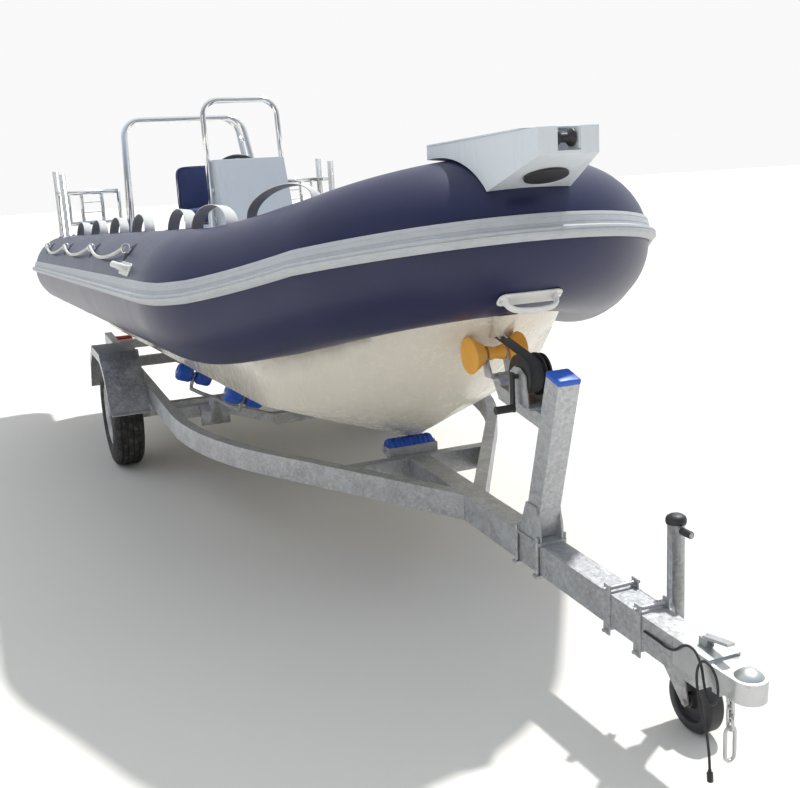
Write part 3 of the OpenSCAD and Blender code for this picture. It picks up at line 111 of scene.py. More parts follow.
def aft_line(x):
    """(x, half breadth, heading) on the straight part that tapers towards the bend."""
    x = np.asarray(x, float)
    return np.stack([x, 945 - (x - STERN_X) * math.tan(AFT_TAPER), x * 0 + AFT_TAPER], -1)


def arc(centre, radius, a):
    """(x, half breadth, heading) on a circle, a being the heading."""
    return np.stack([centre[0] + radius * np.sin(a), centre[1] + radius * np.cos(a), a], -1)


def port_stations(aft, bend=10, straight=8, bow=26):
    """Stations from the stern to the stem: straight run, bend, straight run, bow circle."""
    one = arc(BEND_C, BEND_R, np.linspace(AFT_TAPER, BOW_TAPER, bend))
    a, b = one[-1], arc(BOW_C, BOW_R, np.array(BOW_TAPER))
    two = a + (b - a) * np.linspace(0, 1, straight)[1:-1, None]
    three = arc(BOW_C, BOW_R, np.linspace(BOW_TAPER, math.pi / 2, bow))
    return np.concatenate([aft_line(np.linspace(STERN_X, 2051.0, aft)), one, two, three])


def both_sides(st):
    """Port stations followed by the same in reverse to starboard, with a side sign."""
    port = np.column_stack([st, np.ones(len(st))])
    return np.concatenate([port, port[-2::-1] * [1, 1, 1, -1]])


def skin_points(st, radius, angle):
    """Points round the tube: centre + radius (cos angle out + sin angle up) at each station."""
    x, y, head, side = (st[:, k, None] for k in range(4))
    out = radius * np.cos(angle)
    return np.stack([x + out * np.sin(head), side * (y + out * np.cos(head)),
                     tube_z(x) + radius * np.sin(angle) + 0 * out], -1)


def tube_frame(st, side, angle, lift):
    """Origin and axes (out, along, across) of a piece standing on the tube's skin."""
    x, y, head = st
    z1, z0, r1, r0 = tube_z(x + 1), tube_z(x - 1), tube_r(x + 1), tube_r(x - 1)
    slope = side * math.atan(math.cos(head) / 2 * ((z1 - z0) * math.sin(angle) + r1 - r0))
    flat = np.array([math.sin(head), side * math.cos(head), 0.0])
    up = np.array([0, 0, 1.0])
    out = math.cos(angle) * flat + math.sin(angle) * up
    along = np.array([-side * math.cos(head), math.sin(head), 0.0])
    out, along = (math.cos(slope) * out + math.sin(slope) * along,
                  math.cos(slope) * along - math.sin(slope) * out)
    origin = np.array([x, side * y, float(tube_z(x))]) \
        + (float(tube_r(x)) + lift) * (math.cos(angle) * flat + math.sin(angle) * up)
    return origin, np.stack([out, along, np.cross(out, along)])


def standing(place, out, along, across):
    """Points at so much out from, along and across a place of tube_frame."""
    origin, axes = place
    return origin + sum(np.asarray(k)[..., None] * axis
                        for k, axis in zip((out, along, across), axes))


# ---------------------------------------------------------------- mesh making
FINISHES = {}


def new_object(name, mesh, looks, body, stands_for):
    """Links a mesh, with its looks as its materials, as a piece that rides on a body."""
    for look in looks:
        mesh.materials.append(FINISHES[look])
    o = bpy.data.objects.new(name, mesh)
    bpy.context.scene.collection.objects.link(o)
    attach(o, body)
    if stands_for:
        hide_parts(*stands_for)
    return o


def steps_along(grid, axis, closed):
    """Running length along one axis of a grid, from the mean gap between its rows."""
    nxt = np.roll(grid, -1, axis) if closed else np.take(grid, range(1, grid.shape[axis]), axis)
    cur = grid if closed else np.take(grid, range(grid.shape[axis] - 1), axis)
    gap = np.linalg.norm(nxt - cur, axis=-1).mean(axis=1 - axis)
    return np.concatenate([[0], np.cumsum(gap)])


def weave(grid, around=True, ring=False, caps=True):
    """Vertices, faces and corner UVs (in metres) of a grid of points."""
    n, m = grid.shape[:2]
    i, j = np.meshgrid(np.arange(n if ring else n - 1), np.arange(m if around else m - 1),
                       indexing="ij")
    i2, j2 = (i + 1) % n, (j + 1) % m
    quads = np.stack([i * m + j, i2 * m + j, i2 * m + j2, i * m + j2], -1).reshape(-1, 4)
    u, v = steps_along(grid, 0, ring), steps_along(grid, 1, around)
    uv = np.stack([np.stack([u[i], v[j]], -1), np.stack([u[i + 1], v[j]], -1),
                   np.stack([u[i + 1], v[j + 1]], -1), np.stack([u[i], v[j + 1]], -1)], 2)
    uv = uv.reshape(-1, 2)
    faces = quads.tolist()
    if caps and around and not ring:
        faces += [list(range(m)), list(range((n - 1) * m, n * m))[::-1]]
        uv = np.concatenate([uv, np.zeros((2 * m, 2))])
    return grid.reshape(-1, 3), faces, uv


def join(parts):
    """Several (vertices, faces, uv) as one."""
    verts, faces, uvs, base = [], [], [], 0
    for v, f, t in parts:
        verts.append(v)
        faces += [[k + base for k in face] for face in f]
        uvs.append(t)
        base += len(v)
    return np.concatenate(verts), faces, np.concatenate(uvs)


def shaded(bm, mesh, angle):
    """Writes an edit mesh to a mesh, smooth but for edges sharper than the angle."""
    bm.to_mesh(mesh)
    bm.free()
    mesh.shade_smooth()
    mesh.set_sharp_from_angle(angle=math.radians(angle))


def build(name, parts, look, body=ROOT, stands_for=(), smooth=60, index=None, weld=False):
    """A piece from woven grids, with its faces turned outwards."""
    verts, faces, uv = join(parts)
    mesh = bpy.data.meshes.new(name)
    mesh.from_pydata(verts.tolist(), [], faces)
    mesh.uv_layers.new(name="UVMap").data.foreach_set("uv", uv.astype(np.float32).ravel())
    if index is not None:
        mesh.polygons.foreach_set("material_index", np.asarray(index, np.int32))
    bm = bmesh.new()
    bm.from_mesh(mesh)
    if weld:
        bmesh.ops.remove_doubles(bm, verts=bm.verts, dist=1e-5)
    bmesh.ops.recalc_face_normals(bm, faces=bm.faces)
    shaded(bm, mesh, smooth)
    return new_object(name, mesh, [look] if index is None else look, body, stands_for)


def finished(node, look, bevel, soft, levels, flat):
    """A CAD node's mesh copied and merged, with its edges rounded by a small bevel."""
    source = frame["nodes"][node]
    bm = bmesh.new()
    bm.from_mesh(source.data)
    bmesh.ops.remove_doubles(bm, verts=bm.verts, dist=2e-5)
    if flat:
        bmesh.ops.dissolve_limit(bm, angle_limit=0.004, verts=bm.verts, edges=bm.edges)
    mesh = bpy.data.meshes.new(node + "_skin")
    shaded(bm, mesh, soft)
    o = new_object(node + "_skin", mesh, [look], source["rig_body"], [node])
    if bevel:
        mod = o.modifiers.new("edge", "BEVEL")
        mod.width, mod.segments, mod.limit_method = bevel, levels, "ANGLE"
        mod.angle_limit, mod.harden_normals = math.radians(soft), True


def curve_through(points, count):
    """Catmull-Rom curve: each span blends its four neighbours with cubic weights."""
    p = np.asarray(points, float)
    t = np.linspace(0, len(p) - 1, count)
    k = np.minimum(t.astype(int), len(p) - 2)
    f = (t - k)[:, None]
    q = np.concatenate([[2 * p[0] - p[1]], p, [2 * p[-1] - p[-2]]])
    a, b, c, d = q[k], q[k + 1], q[k + 2], q[k + 3]
    return 0.5 * (2 * b + (c - a) * f + (2 * a - 5 * b + 4 * c - d) * f ** 2
                  + (3 * b - a - 3 * c + d) * f ** 3)


def carry(path, profile, ring=False):
    """Sweeps a closed profile (across, up) along a path, its frame carried without twist."""
    path = np.asarray(path, float)
    t = np.roll(path, -1, 0) - np.roll(path, 1, 0)
    if not ring:
        t[0], t[-1] = path[1] - path[0], path[-1] - path[-2]
    t /= np.linalg.norm(t, axis=1)[:, None]
    n = np.empty_like(t)
    first = np.cross(t[0], [0, 0, 1.0])
    if np.linalg.norm(first) < 0.2:
        first = np.cross(t[0], [0, 1.0, 0])
    n[0] = first / np.linalg.norm(first)
    for k in range(1, len(t)):
        side = n[k - 1] - t[k] * (n[k - 1] @ t[k])
        n[k] = side / np.linalg.norm(side)
    b = np.cross(t, n)
    profile = np.asarray(profile, float)
    return path[:, None] + profile[None, :, :1] * n[:, None] + profile[None, :, 1:] * b[:, None]


def round_angles(count):
    """Evenly spaced angles of a full turn."""
    return np.linspace(0, 2 * math.pi, count, endpoint=False)


def circle(radius, count=12):
    """Points of a circle as (across, up)."""
    a = round_angles(count)
    return radius * np.stack([np.cos(a), np.sin(a)], -1)


def rounded_box(half_w, half_h, corner, count=4):
    """Outline of a rectangle with round corners."""
    a = np.linspace(0, math.pi / 2, count)
    turn = np.arange(4)[:, None] * math.pi / 2 + a
    sx, sy = np.array([1, -1, -1, 1])[:, None], np.array([1, 1, -1, -1])[:, None]
    return np.stack([sx * (half_w - corner) + corner * np.cos(turn),
                     sy * (half_h - corner) + corner * np.sin(turn)], -1).reshape(-1, 2)


def turned(profile, centre, count=96, axis="Y"):
    """Surface of revolution of (radius, along) about a line through the centre."""
    a = round_angles(count)
    r, y = np.asarray(profile, float).T
    c, s = np.cos(a)[None], np.sin(a)[None]
    one = np.ones_like(c)
    order = {"Y": (r[:, None] * c, y[:, None] * one, r[:, None] * s),
             "Z": (r[:, None] * c, r[:, None] * s, y[:, None] * one)}[axis]
    return np.stack(order, -1) + np.asarray(centre, float)


# ---------------------------------------------------------------- shader sums
class Sum:
    """A socket that Python's signs work on: each sign adds one node of maths."""

    def __init__(self, tree, socket, colour=False):
        self.tree, self.socket, self.colour = tree, socket, colour

    def _do(self, op, a, b):
        kind = "ShaderNodeVectorMath" if self.colour else "ShaderNodeMath"
        n = self.tree.nodes.new(kind)
        n.operation = op
        for k, value in enumerate((a, b)):
            if isinstance(value, Sum):
                self.tree.links.new(value.socket, n.inputs[k])
            elif value is not None:
                n.inputs[k].default_value = (value,) * 3 if self.colour else value
        return Sum(self.tree, n.outputs[0], self.colour)

    def _sign(op, swapped=False):
        """The method behind one of Python's signs."""
        return lambda self, o: self._do(op, *((o, self) if swapped else (self, o)))

    __add__, __radd__ = _sign("ADD"), _sign("ADD", True)
    __sub__, __rsub__ = _sign("SUBTRACT"), _sign("SUBTRACT", True)
    __mul__, __rmul__ = _sign("MULTIPLY"), _sign("MULTIPLY", True)
    bigger = _sign("MAXIMUM")

    def sine(self):
        """Sine of the value."""
        return self._do("SINE", self, None)

    def ramp(self, low, high):
        """0 below low, 1 above high, a smooth step between."""
        n = self.tree.nodes.new("ShaderNodeMapRange")
        n.interpolation_type = "SMOOTHSTEP"
        n.inputs["From Min"].default_value = low
        n.inputs["From Max"].default_value = high
        self.tree.links.new(self.socket, n.inputs["Value"])
        return Sum(self.tree, n.outputs[0])


class Finish:
    """One material, built from noise, weaves and sums."""

    def __init__(self, name):
        self.mat = bpy.data.materials.new(name)
        self.mat.use_nodes = True
        self.tree = self.mat.node_tree
        self.shader = self.tree.nodes["Principled BSDF"]
        self.place = self.node("ShaderNodeTexCoord")

    def node(self, kind, settings=None, **values):
        """Any node: settings first, then the values or links of its sockets."""
        n = self.tree.nodes.new(kind)
        for key, value in (settings or {}).items():
            setattr(n, key, value)
        for key, value in values.items():
            socket = n.inputs[key.replace("_", " ")]
            if isinstance(value, Sum):
                self.tree.links.new(value.socket, socket)
            else:
                socket.default_value = value
        return n

    def at(self, stretch=(1, 1, 1)):
        """Object coordinates, stretched."""
        source = Sum(self.tree, self.place.outputs["Object"], True)
        n = self.node("ShaderNodeMapping", Vector=source, Scale=stretch)
        return Sum(self.tree, n.outputs[0], True)

    def noise(self, scale, detail=4.0, rough=0.55, stretch=(1, 1, 1)):
        """Noise from 0 to 1 at so many lumps a metre."""
        n = self.node("ShaderNodeTexNoise", Vector=self.at(stretch), Scale=scale,
                      Detail=detail, Roughness=rough)
        return Sum(self.tree, n.outputs["Fac"])

    def flakes(self, scale):
        """One random value for each Voronoi cell."""
        n = self.node("ShaderNodeTexVoronoi", Vector=self.at(), Scale=scale)
        split = self.node("ShaderNodeSeparateColor", Color=Sum(self.tree, n.outputs["Color"]))
        return Sum(self.tree, split.outputs[0])

    def pebbles(self, scale):
        """Distance to the nearest edge of a Voronoi cell."""
        n = self.node("ShaderNodeTexVoronoi", {"feature": "DISTANCE_TO_EDGE"},
                      Vector=self.at(), Scale=scale)
        return Sum(self.tree, n.outputs["Distance"])

    def part(self, axis, uv=False, normal=False):
        """One coordinate: of the place, of the map, or of the facing."""
        name = "UV" if uv else "Normal" if normal else "Object"
        n = self.node("ShaderNodeSeparateXYZ",
                      Vector=Sum(self.tree, self.place.outputs[name], True))
        return Sum(self.tree, n.outputs[axis])

    def blend(self, share, a, b):
        """Colour a where share is 0 and b where it is 1."""
        n = self.node("ShaderNodeMix", {"data_type": "RGBA"})
        for socket, value in ((n.inputs[0], share), (n.inputs[6], a), (n.inputs[7], b)):
            if isinstance(value, Sum):
                self.tree.links.new(value.socket, socket)
            elif isinstance(value, float):
                socket.default_value = value
            else:
                socket.default_value = (*value, 1.0)
        return Sum(self.tree, n.outputs[2], True)

    def done(self, colour, rough, metal=0.0, height=None, depth=0.001, **fixed):
        """Links the sums to the shader and sets its constant sockets."""
        ins = self.shader.inputs
        for name, value in (("Base Color", colour), ("Roughness", rough), ("Metallic", metal)):
            if isinstance(value, Sum):
                self.tree.links.new(value.socket, ins[name])
            else:
                ins[name].default_value = (*value, 1.0) if name == "Base Color" else value
        for name, value in fixed.items():
            ins[name.replace("_", " ")].default_value = value
        if height is not None:
            b = self.node("ShaderNodeBump", Height=height, Strength=0.8, Distance=depth)
            self.tree.links.new(b.outputs[0], ins["Normal"])
        return self.mat


def tint(colour, gain, add=0.0):
    """A colour made lighter or darker."""
    return tuple(min(1.0, c * gain + add) for c in colour)


def coated_fabric(name, colour, rough=0.3):
    """Rubber-coated cloth: faint pile bump, worn pale patches and dust on top."""
    f = Finish(name)
    cloud, fine = f.noise(2.2, 5), f.noise(900, 3, 0.6)
    scuff = f.noise(14, 6, 0.7, (1, 1, 2.4)).ramp(0.56, 0.74)
    dust = f.part(2, normal=True).ramp(0.3, 1.0) * (0.35 + cloud * 0.5)
    base = f.blend(cloud, tint(colour, 0.72), tint(colour, 1.3))
    base = f.blend(scuff * 0.10, base, tint(colour, 1.8, 0.03))
    base = f.blend(dust * 0.05, base, (0.30, 0.36, 0.52))
    return f.done(base, rough + cloud * 0.12 - scuff * 0.06 + dust * 0.08, 0.0,
                  fine * 0.4 + f.noise(240, 2) * 0.6, 0.0004, Specular_IOR_Level=0.42)


def gelcoat(name, colour, rough=0.22, stain=0.35):
    """Moulded polyester: deep gloss, slight ripple, grime that runs down."""
    f = Finish(name)
    cloud = f.noise(1.7, 6)
    runs = f.noise(26, 6, 0.65, (1, 1, 0.12)).ramp(0.5, 0.8)
    specks = f.noise(240, 3, 0.7).ramp(0.66, 0.76)
    base = f.blend(cloud, tint(colour, 0.9), tint(colour, 1.05))
    base = f.blend(runs * stain, base, tint(colour, 0.55))
    base = f.blend(specks * 0.4, base, (0.2, 0.17, 0.13))
    return f.done(base, rough + runs * 0.25 + cloud * 0.12, 0.0, f.noise(9, 2), 0.0012,
                  Coat_Weight=0.25, Coat_Roughness=0.12)


def plastic(name, colour, rough=0.45, grain=500.0):
    """Moulded plastic: fine grain, slight bleaching where it faces up."""
    f = Finish(name)
    cloud, fine = f.noise(11, 5), f.noise(grain, 2)
    up = f.part(2, normal=True).ramp(0.2, 1.0)
    base = f.blend(cloud, tint(colour, 0.8), tint(colour, 1.2))
    base = f.blend(up * 0.25, base, tint(colour, 1.15, 0.03))
    return f.done(base, rough + cloud * 0.2 - 0.05, 0.0, fine, 0.0004)


def polished_tube(name):
    """Polished stainless tube: mirror gloss with water marks and hair lines."""
    f = Finish(name)
    marks = f.noise(60, 5, 0.7).ramp(0.5, 0.75)
    lines = f.noise(300, 2, 0.5, (1, 1, 0.04))
    base = f.blend(marks, (0.78, 0.78, 0.77), (0.62, 0.61, 0.59))
    return f.done(base, 0.1 + marks * 0.2 + lines * 0.08, 1.0, lines, 0.00008)


def galvanised(name, colour=(0.48, 0.49, 0.505), grime=0.45):
    """Hot-dip zinc: flat crystals in many greys, dull bloom and brown road grime below."""
    f = Finish(name)
    flake, small = f.flakes(95), f.flakes(260)
    bloom = f.noise(7, 7, 0.65).ramp(0.45, 0.75)
    low = (1.0 - f.part(2).ramp(0.1, 0.75)) * f.noise(18, 5).ramp(0.35, 0.7)
    tone = flake * 0.65 + small * 0.35
    base = f.blend(tone, tint(colour, 0.72), tint(colour, 1.22))
    base = f.blend(bloom * 0.45, base, (0.62, 0.63, 0.63))
    base = f.blend(low * grime, base, (0.17, 0.13, 0.09))
    return f.done(base, 0.36 + tone * 0.18 + bloom * 0.2 + low * 0.15,
                  0.86 - bloom * 0.35 - low * 0.45, f.noise(180, 3) * 0.6 + flake * 0.4, 0.0004)


def plated(name, colour=(0.56, 0.57, 0.57)):
    """Zinc-plated pressings: warm sheen with rust at dull spots."""
    f = Finish(name)
    cloud = f.noise(16, 5)
    rust = f.noise(38, 7, 0.7).ramp(0.6, 0.75)
    base = f.blend(cloud, tint(colour, 0.75), tint(colour, 1.15))
    base = f.blend(rust * 0.75, base, (0.23, 0.09, 0.035))
    return f.done(base, 0.32 + cloud * 0.15 + rust * 0.4, 0.9 - rust * 0.75,
                  f.noise(420, 3), 0.0003)


def webbing(name, colour, rough=0.75, pitch=0.0022):
    """Flat webbing: ribs along the map's v and a fine weft along u."""
    f = Finish(name)
    turn = 2 * math.pi / pitch
    rib = (f.part(1, uv=True) * turn).sine() * 0.5 + 0.5
    weft = (f.part(0, uv=True) * turn * 1.6).sine() * 0.5 + 0.5
    cloud = f.noise(22, 5)
    base = f.blend(cloud, tint(colour, 0.78), tint(colour, 1.06))
    base = f.blend(rib * weft * 0.35, base, tint(colour, 0.62))
    return f.done(base, rough, 0.0, rib * 0.6 + weft * 0.4, 0.0007, Sheen_Weight=0.15)


def rope(name, colour, turns=130.0):
    """Braided line: two crossing spirals on the piece's own map."""
    f = Finish(name)
    u, v = f.part(0, uv=True), f.part(1, uv=True)
    one = (u * turns * 3 + v * turns * 5).sine()
    two = (u * turns * 3 - v * turns * 5).sine()
    lay = one.bigger(two) * 0.5 + 0.5
    cloud = f.noise(15, 5)
    base = f.blend(cloud, tint(colour, 0.75), tint(colour, 1.05))
    # Painted shade: the grooves between the strands, where the lay is low, are darkened towards
    # half the colour.
    base = f.blend((1.0 - lay) * 0.5, base, tint(colour, 0.5))
    return f.done(base, 0.85, 0.0, lay, 0.0012)


def vinyl(name, colour):
    """Seat vinyl: cell grain, soft sheen, paler where it is rubbed."""
    f = Finish(name)
    edge = f.pebbles(420)
    cloud = f.noise(9, 5)
    base = f.blend(cloud, tint(colour, 0.75), tint(colour, 1.35))
    return f.done(base, 0.42 + cloud * 0.15, 0.0, edge.ramp(0.0, 0.25), 0.0005,
                  Specular_IOR_Level=0.5)


def rubber(name, colour, rough=0.55, dust=0.3):
    """Solid rubber: dull, dusty, with small nicks."""
    f = Finish(name)
    cloud = f.noise(24, 6, 0.65)
    nick = f.noise(120, 4, 0.7).ramp(0.62, 0.72)
    base = f.blend(cloud, tint(colour, 0.75), tint(colour, 1.2))
    base = f.blend(cloud.ramp(0.45, 0.75) * dust, base, (0.30, 0.27, 0.23))
    return f.done(base, rough + cloud * 0.2, 0.0, f.noise(500, 2) * 0.5 - nick, 0.0005)


def lamp_glass(name, colour):
    """Lamp lens: deep colour with square prisms under a clear coat."""
    f = Finish(name)
    prism = (f.part(1) * 900.0).sine() * (f.part(2) * 900.0).sine()
    base = f.blend(f.noise(20, 3), tint(colour, 0.8), tint(colour, 1.2))
    return f.done(base, 0.18, 0.0, prism, 0.0006, Coat_Weight=0.6, Coat_Roughness=0.05)


def studio_floor(name):
    """Pale matt floor with hardly any mottling."""
    f = Finish(name)
    return f.done(f.blend(f.noise(0.8, 4), (0.72, 0.69, 0.64), (0.76, 0.73, 0.68)), 0.85)


def make_finishes(chosen):
    """All the finishes, from the colours of the settings."""
    FINISHES.update(
        navy=coated_fabric("navy_coated_fabric", tuple(chosen.collar)),
        patch=coated_fabric("dark_patch_fabric", tint(tuple(chosen.collar), 0.6), 0.6),
        strake=rubber("grey_strake_rubber", (0.50, 0.52, 0.54), 0.5, 0.15),
        cream=gelcoat("cream_gelcoat", tuple(chosen.hull), 0.2, 0.12),
        grey=gelcoat("light_grey_gelcoat", tuple(chosen.mouldings), 0.3, 0.22),
        black=plastic("black_plastic", (0.02, 0.02, 0.022)),
        white=plastic("white_moulding", (0.72, 0.72, 0.69), 0.42, 300.0),
        stainless=polished_tube("polished_stainless"),
        vinyl=vinyl("navy_vinyl", (0.03, 0.045, 0.15)),
        webbing=webbing("white_webbing", (0.72, 0.72, 0.70)),
        # The grey webbing is the line tabs' own colour, and painted shade on the inner faces of
        # the grab straps.
        webbing_grey=webbing("painted_shade_and_tab_webbing", (0.30, 0.31, 0.33)),
        strap=webbing("black_webbing", (0.025, 0.025, 0.028), 0.7, 0.003),
        rope=rope("white_line", (0.74, 0.73, 0.69)),
        zinc=galvanised("galvanised_steel"),
        plated=plated("plated_steel"),
        blue=rubber("blue_roller_rubber", tuple(chosen.rollers), 0.42, 0.22),
        yellow=rubber("yellow_roller_rubber", (0.86, 0.40, 0.04), 0.4, 0.18),
        tyre=rubber("tyre_rubber", (0.022, 0.022, 0.023), 0.7, 0.3),
        cable=rubber("cable_rubber", (0.016, 0.016, 0.017), 0.5, 0.1),
        lamp=lamp_glass("red_lamp", (0.5, 0.015, 0.01)),
        cap=plastic("blue_cap", (0.02, 0.11, 0.55), 0.35),
    )


# ---------------------------------------------------------------- settings
def hue(name, about, default):
    """A colour setting."""
    return bpy.props.FloatVectorProperty(name=name, description=about, subtype="COLOR", size=3,
                                         min=0, max=1, default=default)


def length(name, about, default, largest):
    """A length setting, in metres."""
    return bpy.props.FloatProperty(name=name, description=about, unit="LENGTH",
                                   default=default, min=0.0, max=largest)


class BoatColours(bpy.types.PropertyGroup):
    """Colours of the boat's finishes."""

    collar: hue("Collar", "Fabric of the inflated collar", (0.012, 0.014, 0.058))
    hull: hue("Hull", "Gelcoat of the hull", (0.74, 0.70, 0.60))
    mouldings: hue("Mouldings", "Gelcoat of the console, locker and deck", (0.66, 0.70, 0.73))
    rollers: hue("Rollers", "Rubber of the keel rollers", (0.01, 0.09, 0.50))


class BoatSizes(bpy.types.PropertyGroup):
    """Sizes of the soft and moulded details, in metres."""

    seam_width: length("Seam tape", "Width of the tape over a seam of the collar", 0.045, 0.1)
    seam_height: length("Seam height", "How far the tape stands off the collar", 0.0016, 0.01)
    crown: length("Cushion crown", "Rise of a cushion's middle over its edges", 0.016, 0.05)
    edge: length("Steel edge", "Radius of rounded edges on the steelwork", 0.0015, 0.01)


def colours():
    """The scene's colour settings."""
    return bpy.context.scene.boat_colours


def sizes():
    """The scene's size settings."""
    return bpy.context.scene.boat_sizes


# ---------------------------------------------------------------- pieces
class BOAT_OT_collar(bpy.types.Operator):
    """Inflated collar with taped seams, and the rubbing strake along it"""

    bl_idname = "boat.collar"
    bl_label = "Collar and strake"

    def execute(self, context):
        st = both_sides(port_stations(90))
        x = st[:, 0, None]
        cone = np.array([[0, 1, 0], [.1, .995, 0], [.2, .985, 0], [.3, .97, 0], [.45, .93, .01],
                         [.62, .87, .02], [.75, .79, .035], [.88, .66, .05], [.95, .55, .08],
                         [1, .42, .1], [1, .25, .1], [1, .02, .1]])[:0:-1]
        th = round_angles(72)
        # seam tape: the radius steps out by the tape's height within bands of stations
        crosswise = (np.abs(x - SEAMS) < 500 * sizes().seam_width).any(1)[:, None]
        lengthwise = np.abs(th - math.radians(128)) < math.radians(5.5)
        seam = (crosswise | lengthwise) * 1.0
        body = skin_points(st, tube_r(x) * 0.997 + seam * 1000 * sizes().seam_height, th[None])
        ends = []
        for side in (1, -1):
            far = np.column_stack([aft_line(STERN_X - 190 * cone[:, 0]),
                                   np.full(len(cone), side)])
            ring = skin_points(far, R_STERN * 0.997 * cone[:, 1, None], th[None])
            ring[..., 2] += R_STERN * cone[:, 2, None]
            ends.append(ring)
        grid = np.concatenate([ends[0], body, ends[1][::-1]])
        build("collar_skin", [weave(row(grid))], "navy", stands_for=["collar"])
        shape = np.array([[9, .4], [8.8, 6], [8.2, 7.2], [6.2, 7.4], [6.0, 6.2], [5.6, 6.2],
                          [5.4, 7.5], [2.2, 7.9], [2.0, 6.6], [1.6, 6.6], [1.4, 8], [0, 9],
                          [-.8, 16], [-1.1, 24], [-1.9, 25.4], [-2.6, 25.8], [-2.9, 23.2],
                          [-3.3, 23.2], [-3.6, 26.4], [-5, 27], [-5.6, 26], [-5.9, 22.5],
                          [-6.4, 22], [-7, 19], [-8.6, 9.5], [-9, 7], [-9, .4]])
        ang = STRAKE + np.radians(shape[:, 0])
        grid = skin_points(st, tube_r(x) + shape[None, :, 1], ang[None])
        build("rubbing_strake_skin", [weave(row(grid))], "strake",
              stands_for=["rubbing_strake"], smooth=35)
        return {"FINISHED"}


FITTED = (  # nodes; look, bevel (None: the steel edge), sharp angle, bevel steps, merge flats
    ("coupler", "plated", 0.002, 32, 3, False),
    ("coupler_lever", "plated", 0.0015, 32, 2, False),
    ("safety_chain", "plated", 0.0, 55, 2, False),
    ("hull", "cream", 0.0, 30, 2, False),
    ("stem_plate", "cream", 0.002, 38, 2, True),
    ("deck", "grey", 0.0, 30, 2, False),
    ("bow_locker locker_lid", "grey", 0.004, 30, 3, True),
    ("console", "grey", 0.009, 30, 4, True),
    ("seat_base", "grey", 0.006, 30, 3, True),
    ("vent_cover", "black", 0.002, 38, 2, True),
    ("anchor_roller", "black", 0.001, 38, 2, True),
    ("steering_wheel", "black", 0.0, 38, 2, False),
    ("console_hoop stern_arch stern_frame_port stern_frame_starboard", "stainless",
     0.0, 42, 2, False),
    ("drawbar side_rail_port side_rail_starboard crossmembers axle fender_port "
     "fender_starboard roller_brackets winch_post winch_arm jockey_clamp jockey_fork",
     "zinc", None, 32, 2, True),
    ("cradle_port cradle_starboard", "zinc", 0.0, 55, 2, False),
    ("jockey_leg", "zinc", 0.0, 32, 2, False),
    ("tail_lamps", "lamp", 0.004, 32, 3, True),
    ("keel_roller_front keel_roller_mid keel_roller_rear cradle_rollers_port "
     "cradle_rollers_starboard", "blue", 0.0015, 30, 2, False),
    ("bow_roller", "yellow", 0.0015, 30, 2, False),
    ("wheel_rim_port wheel_rim_starboard", "zinc", 0.0015, 30, 2, False),
    ("jockey_wheel", "black", 0.002, 30, 2, False),
    ("winch_drum", "black", 0.001, 32, 2, False),
)


class BOAT_OT_fitted(bpy.types.Operator):
    """Mouldings, rails, steelwork, rollers and rims that keep the shape of their CAD node"""

    bl_idname = "boat.fitted"
    bl_label = "Fitted parts"

    def execute(self, context):
        for nodes, look, bevel, soft, levels, flat in FITTED:
            for node in nodes.split():
                finished(node, look, sizes().edge if bevel is None else bevel, soft, levels,
                         flat)
        return {"FINISHED"}


def cushion_grid(low, high, crown, pinch, count=26):
    """A crowned pad: a cube's faces bent so that its sides pull in between the corners.

    Each face is a grid on the unit cube, pushed to a rounded box by the eighth-power norm,
    then its thickness grows by crown times (1 - u^2)(1 - v^2)."""
    t = np.sin(np.linspace(-1, 1, count) * math.pi / 2)
    u, v = np.meshgrid(t, t, indexing="ij")
    one = np.ones_like(u)
    mid, half = (np.array(low) + high) / 2, (np.array(high) - low) / 2
    parts = []
    for axis in range(3):
        for sign in (-1, 1):
            p = np.empty(u.shape + (3,))
            p[..., axis], p[..., (axis + 1) % 3], p[..., (axis + 2) % 3] = sign * one, u, v
            p /= (np.abs(p) ** 8).sum(-1, keepdims=True) ** (1 / 8)
            parts.append(p)
    thin = int(np.argmin(half))
    others = [k for k in range(3) if k != thin]
    grids = []
    for p in parts:
        q = p.copy()
        a, b = q[..., others[0]], q[..., others[1]]
        bulge = (1 - a ** 2) * (1 - b ** 2)
        size = half.copy()
        size[thin] -= crown
        w = q * size
        w[..., thin] += np.sign(q[..., thin]) * np.abs(q[..., thin]) ** 2 * crown * bulge
        w[..., others[0]] *= 1 - pinch * (1 - b ** 2) * np.abs(a) ** 3
        w[..., others[1]] *= 1 - pinch * (1 - a ** 2) * np.abs(b) ** 3
        # sewn channels: a narrow dip across the pad at thirds of its width
        for at in (-0.33, 0.33):
            dip = np.exp(-((b - at) / 0.022) ** 2) * 0.005 * (np.abs(q[..., thin]) > 0.6)
            w[..., thin] -= np.sign(q[..., thin]) * dip
        grids.append(w + mid)
    return grids, mid, half, thin, others


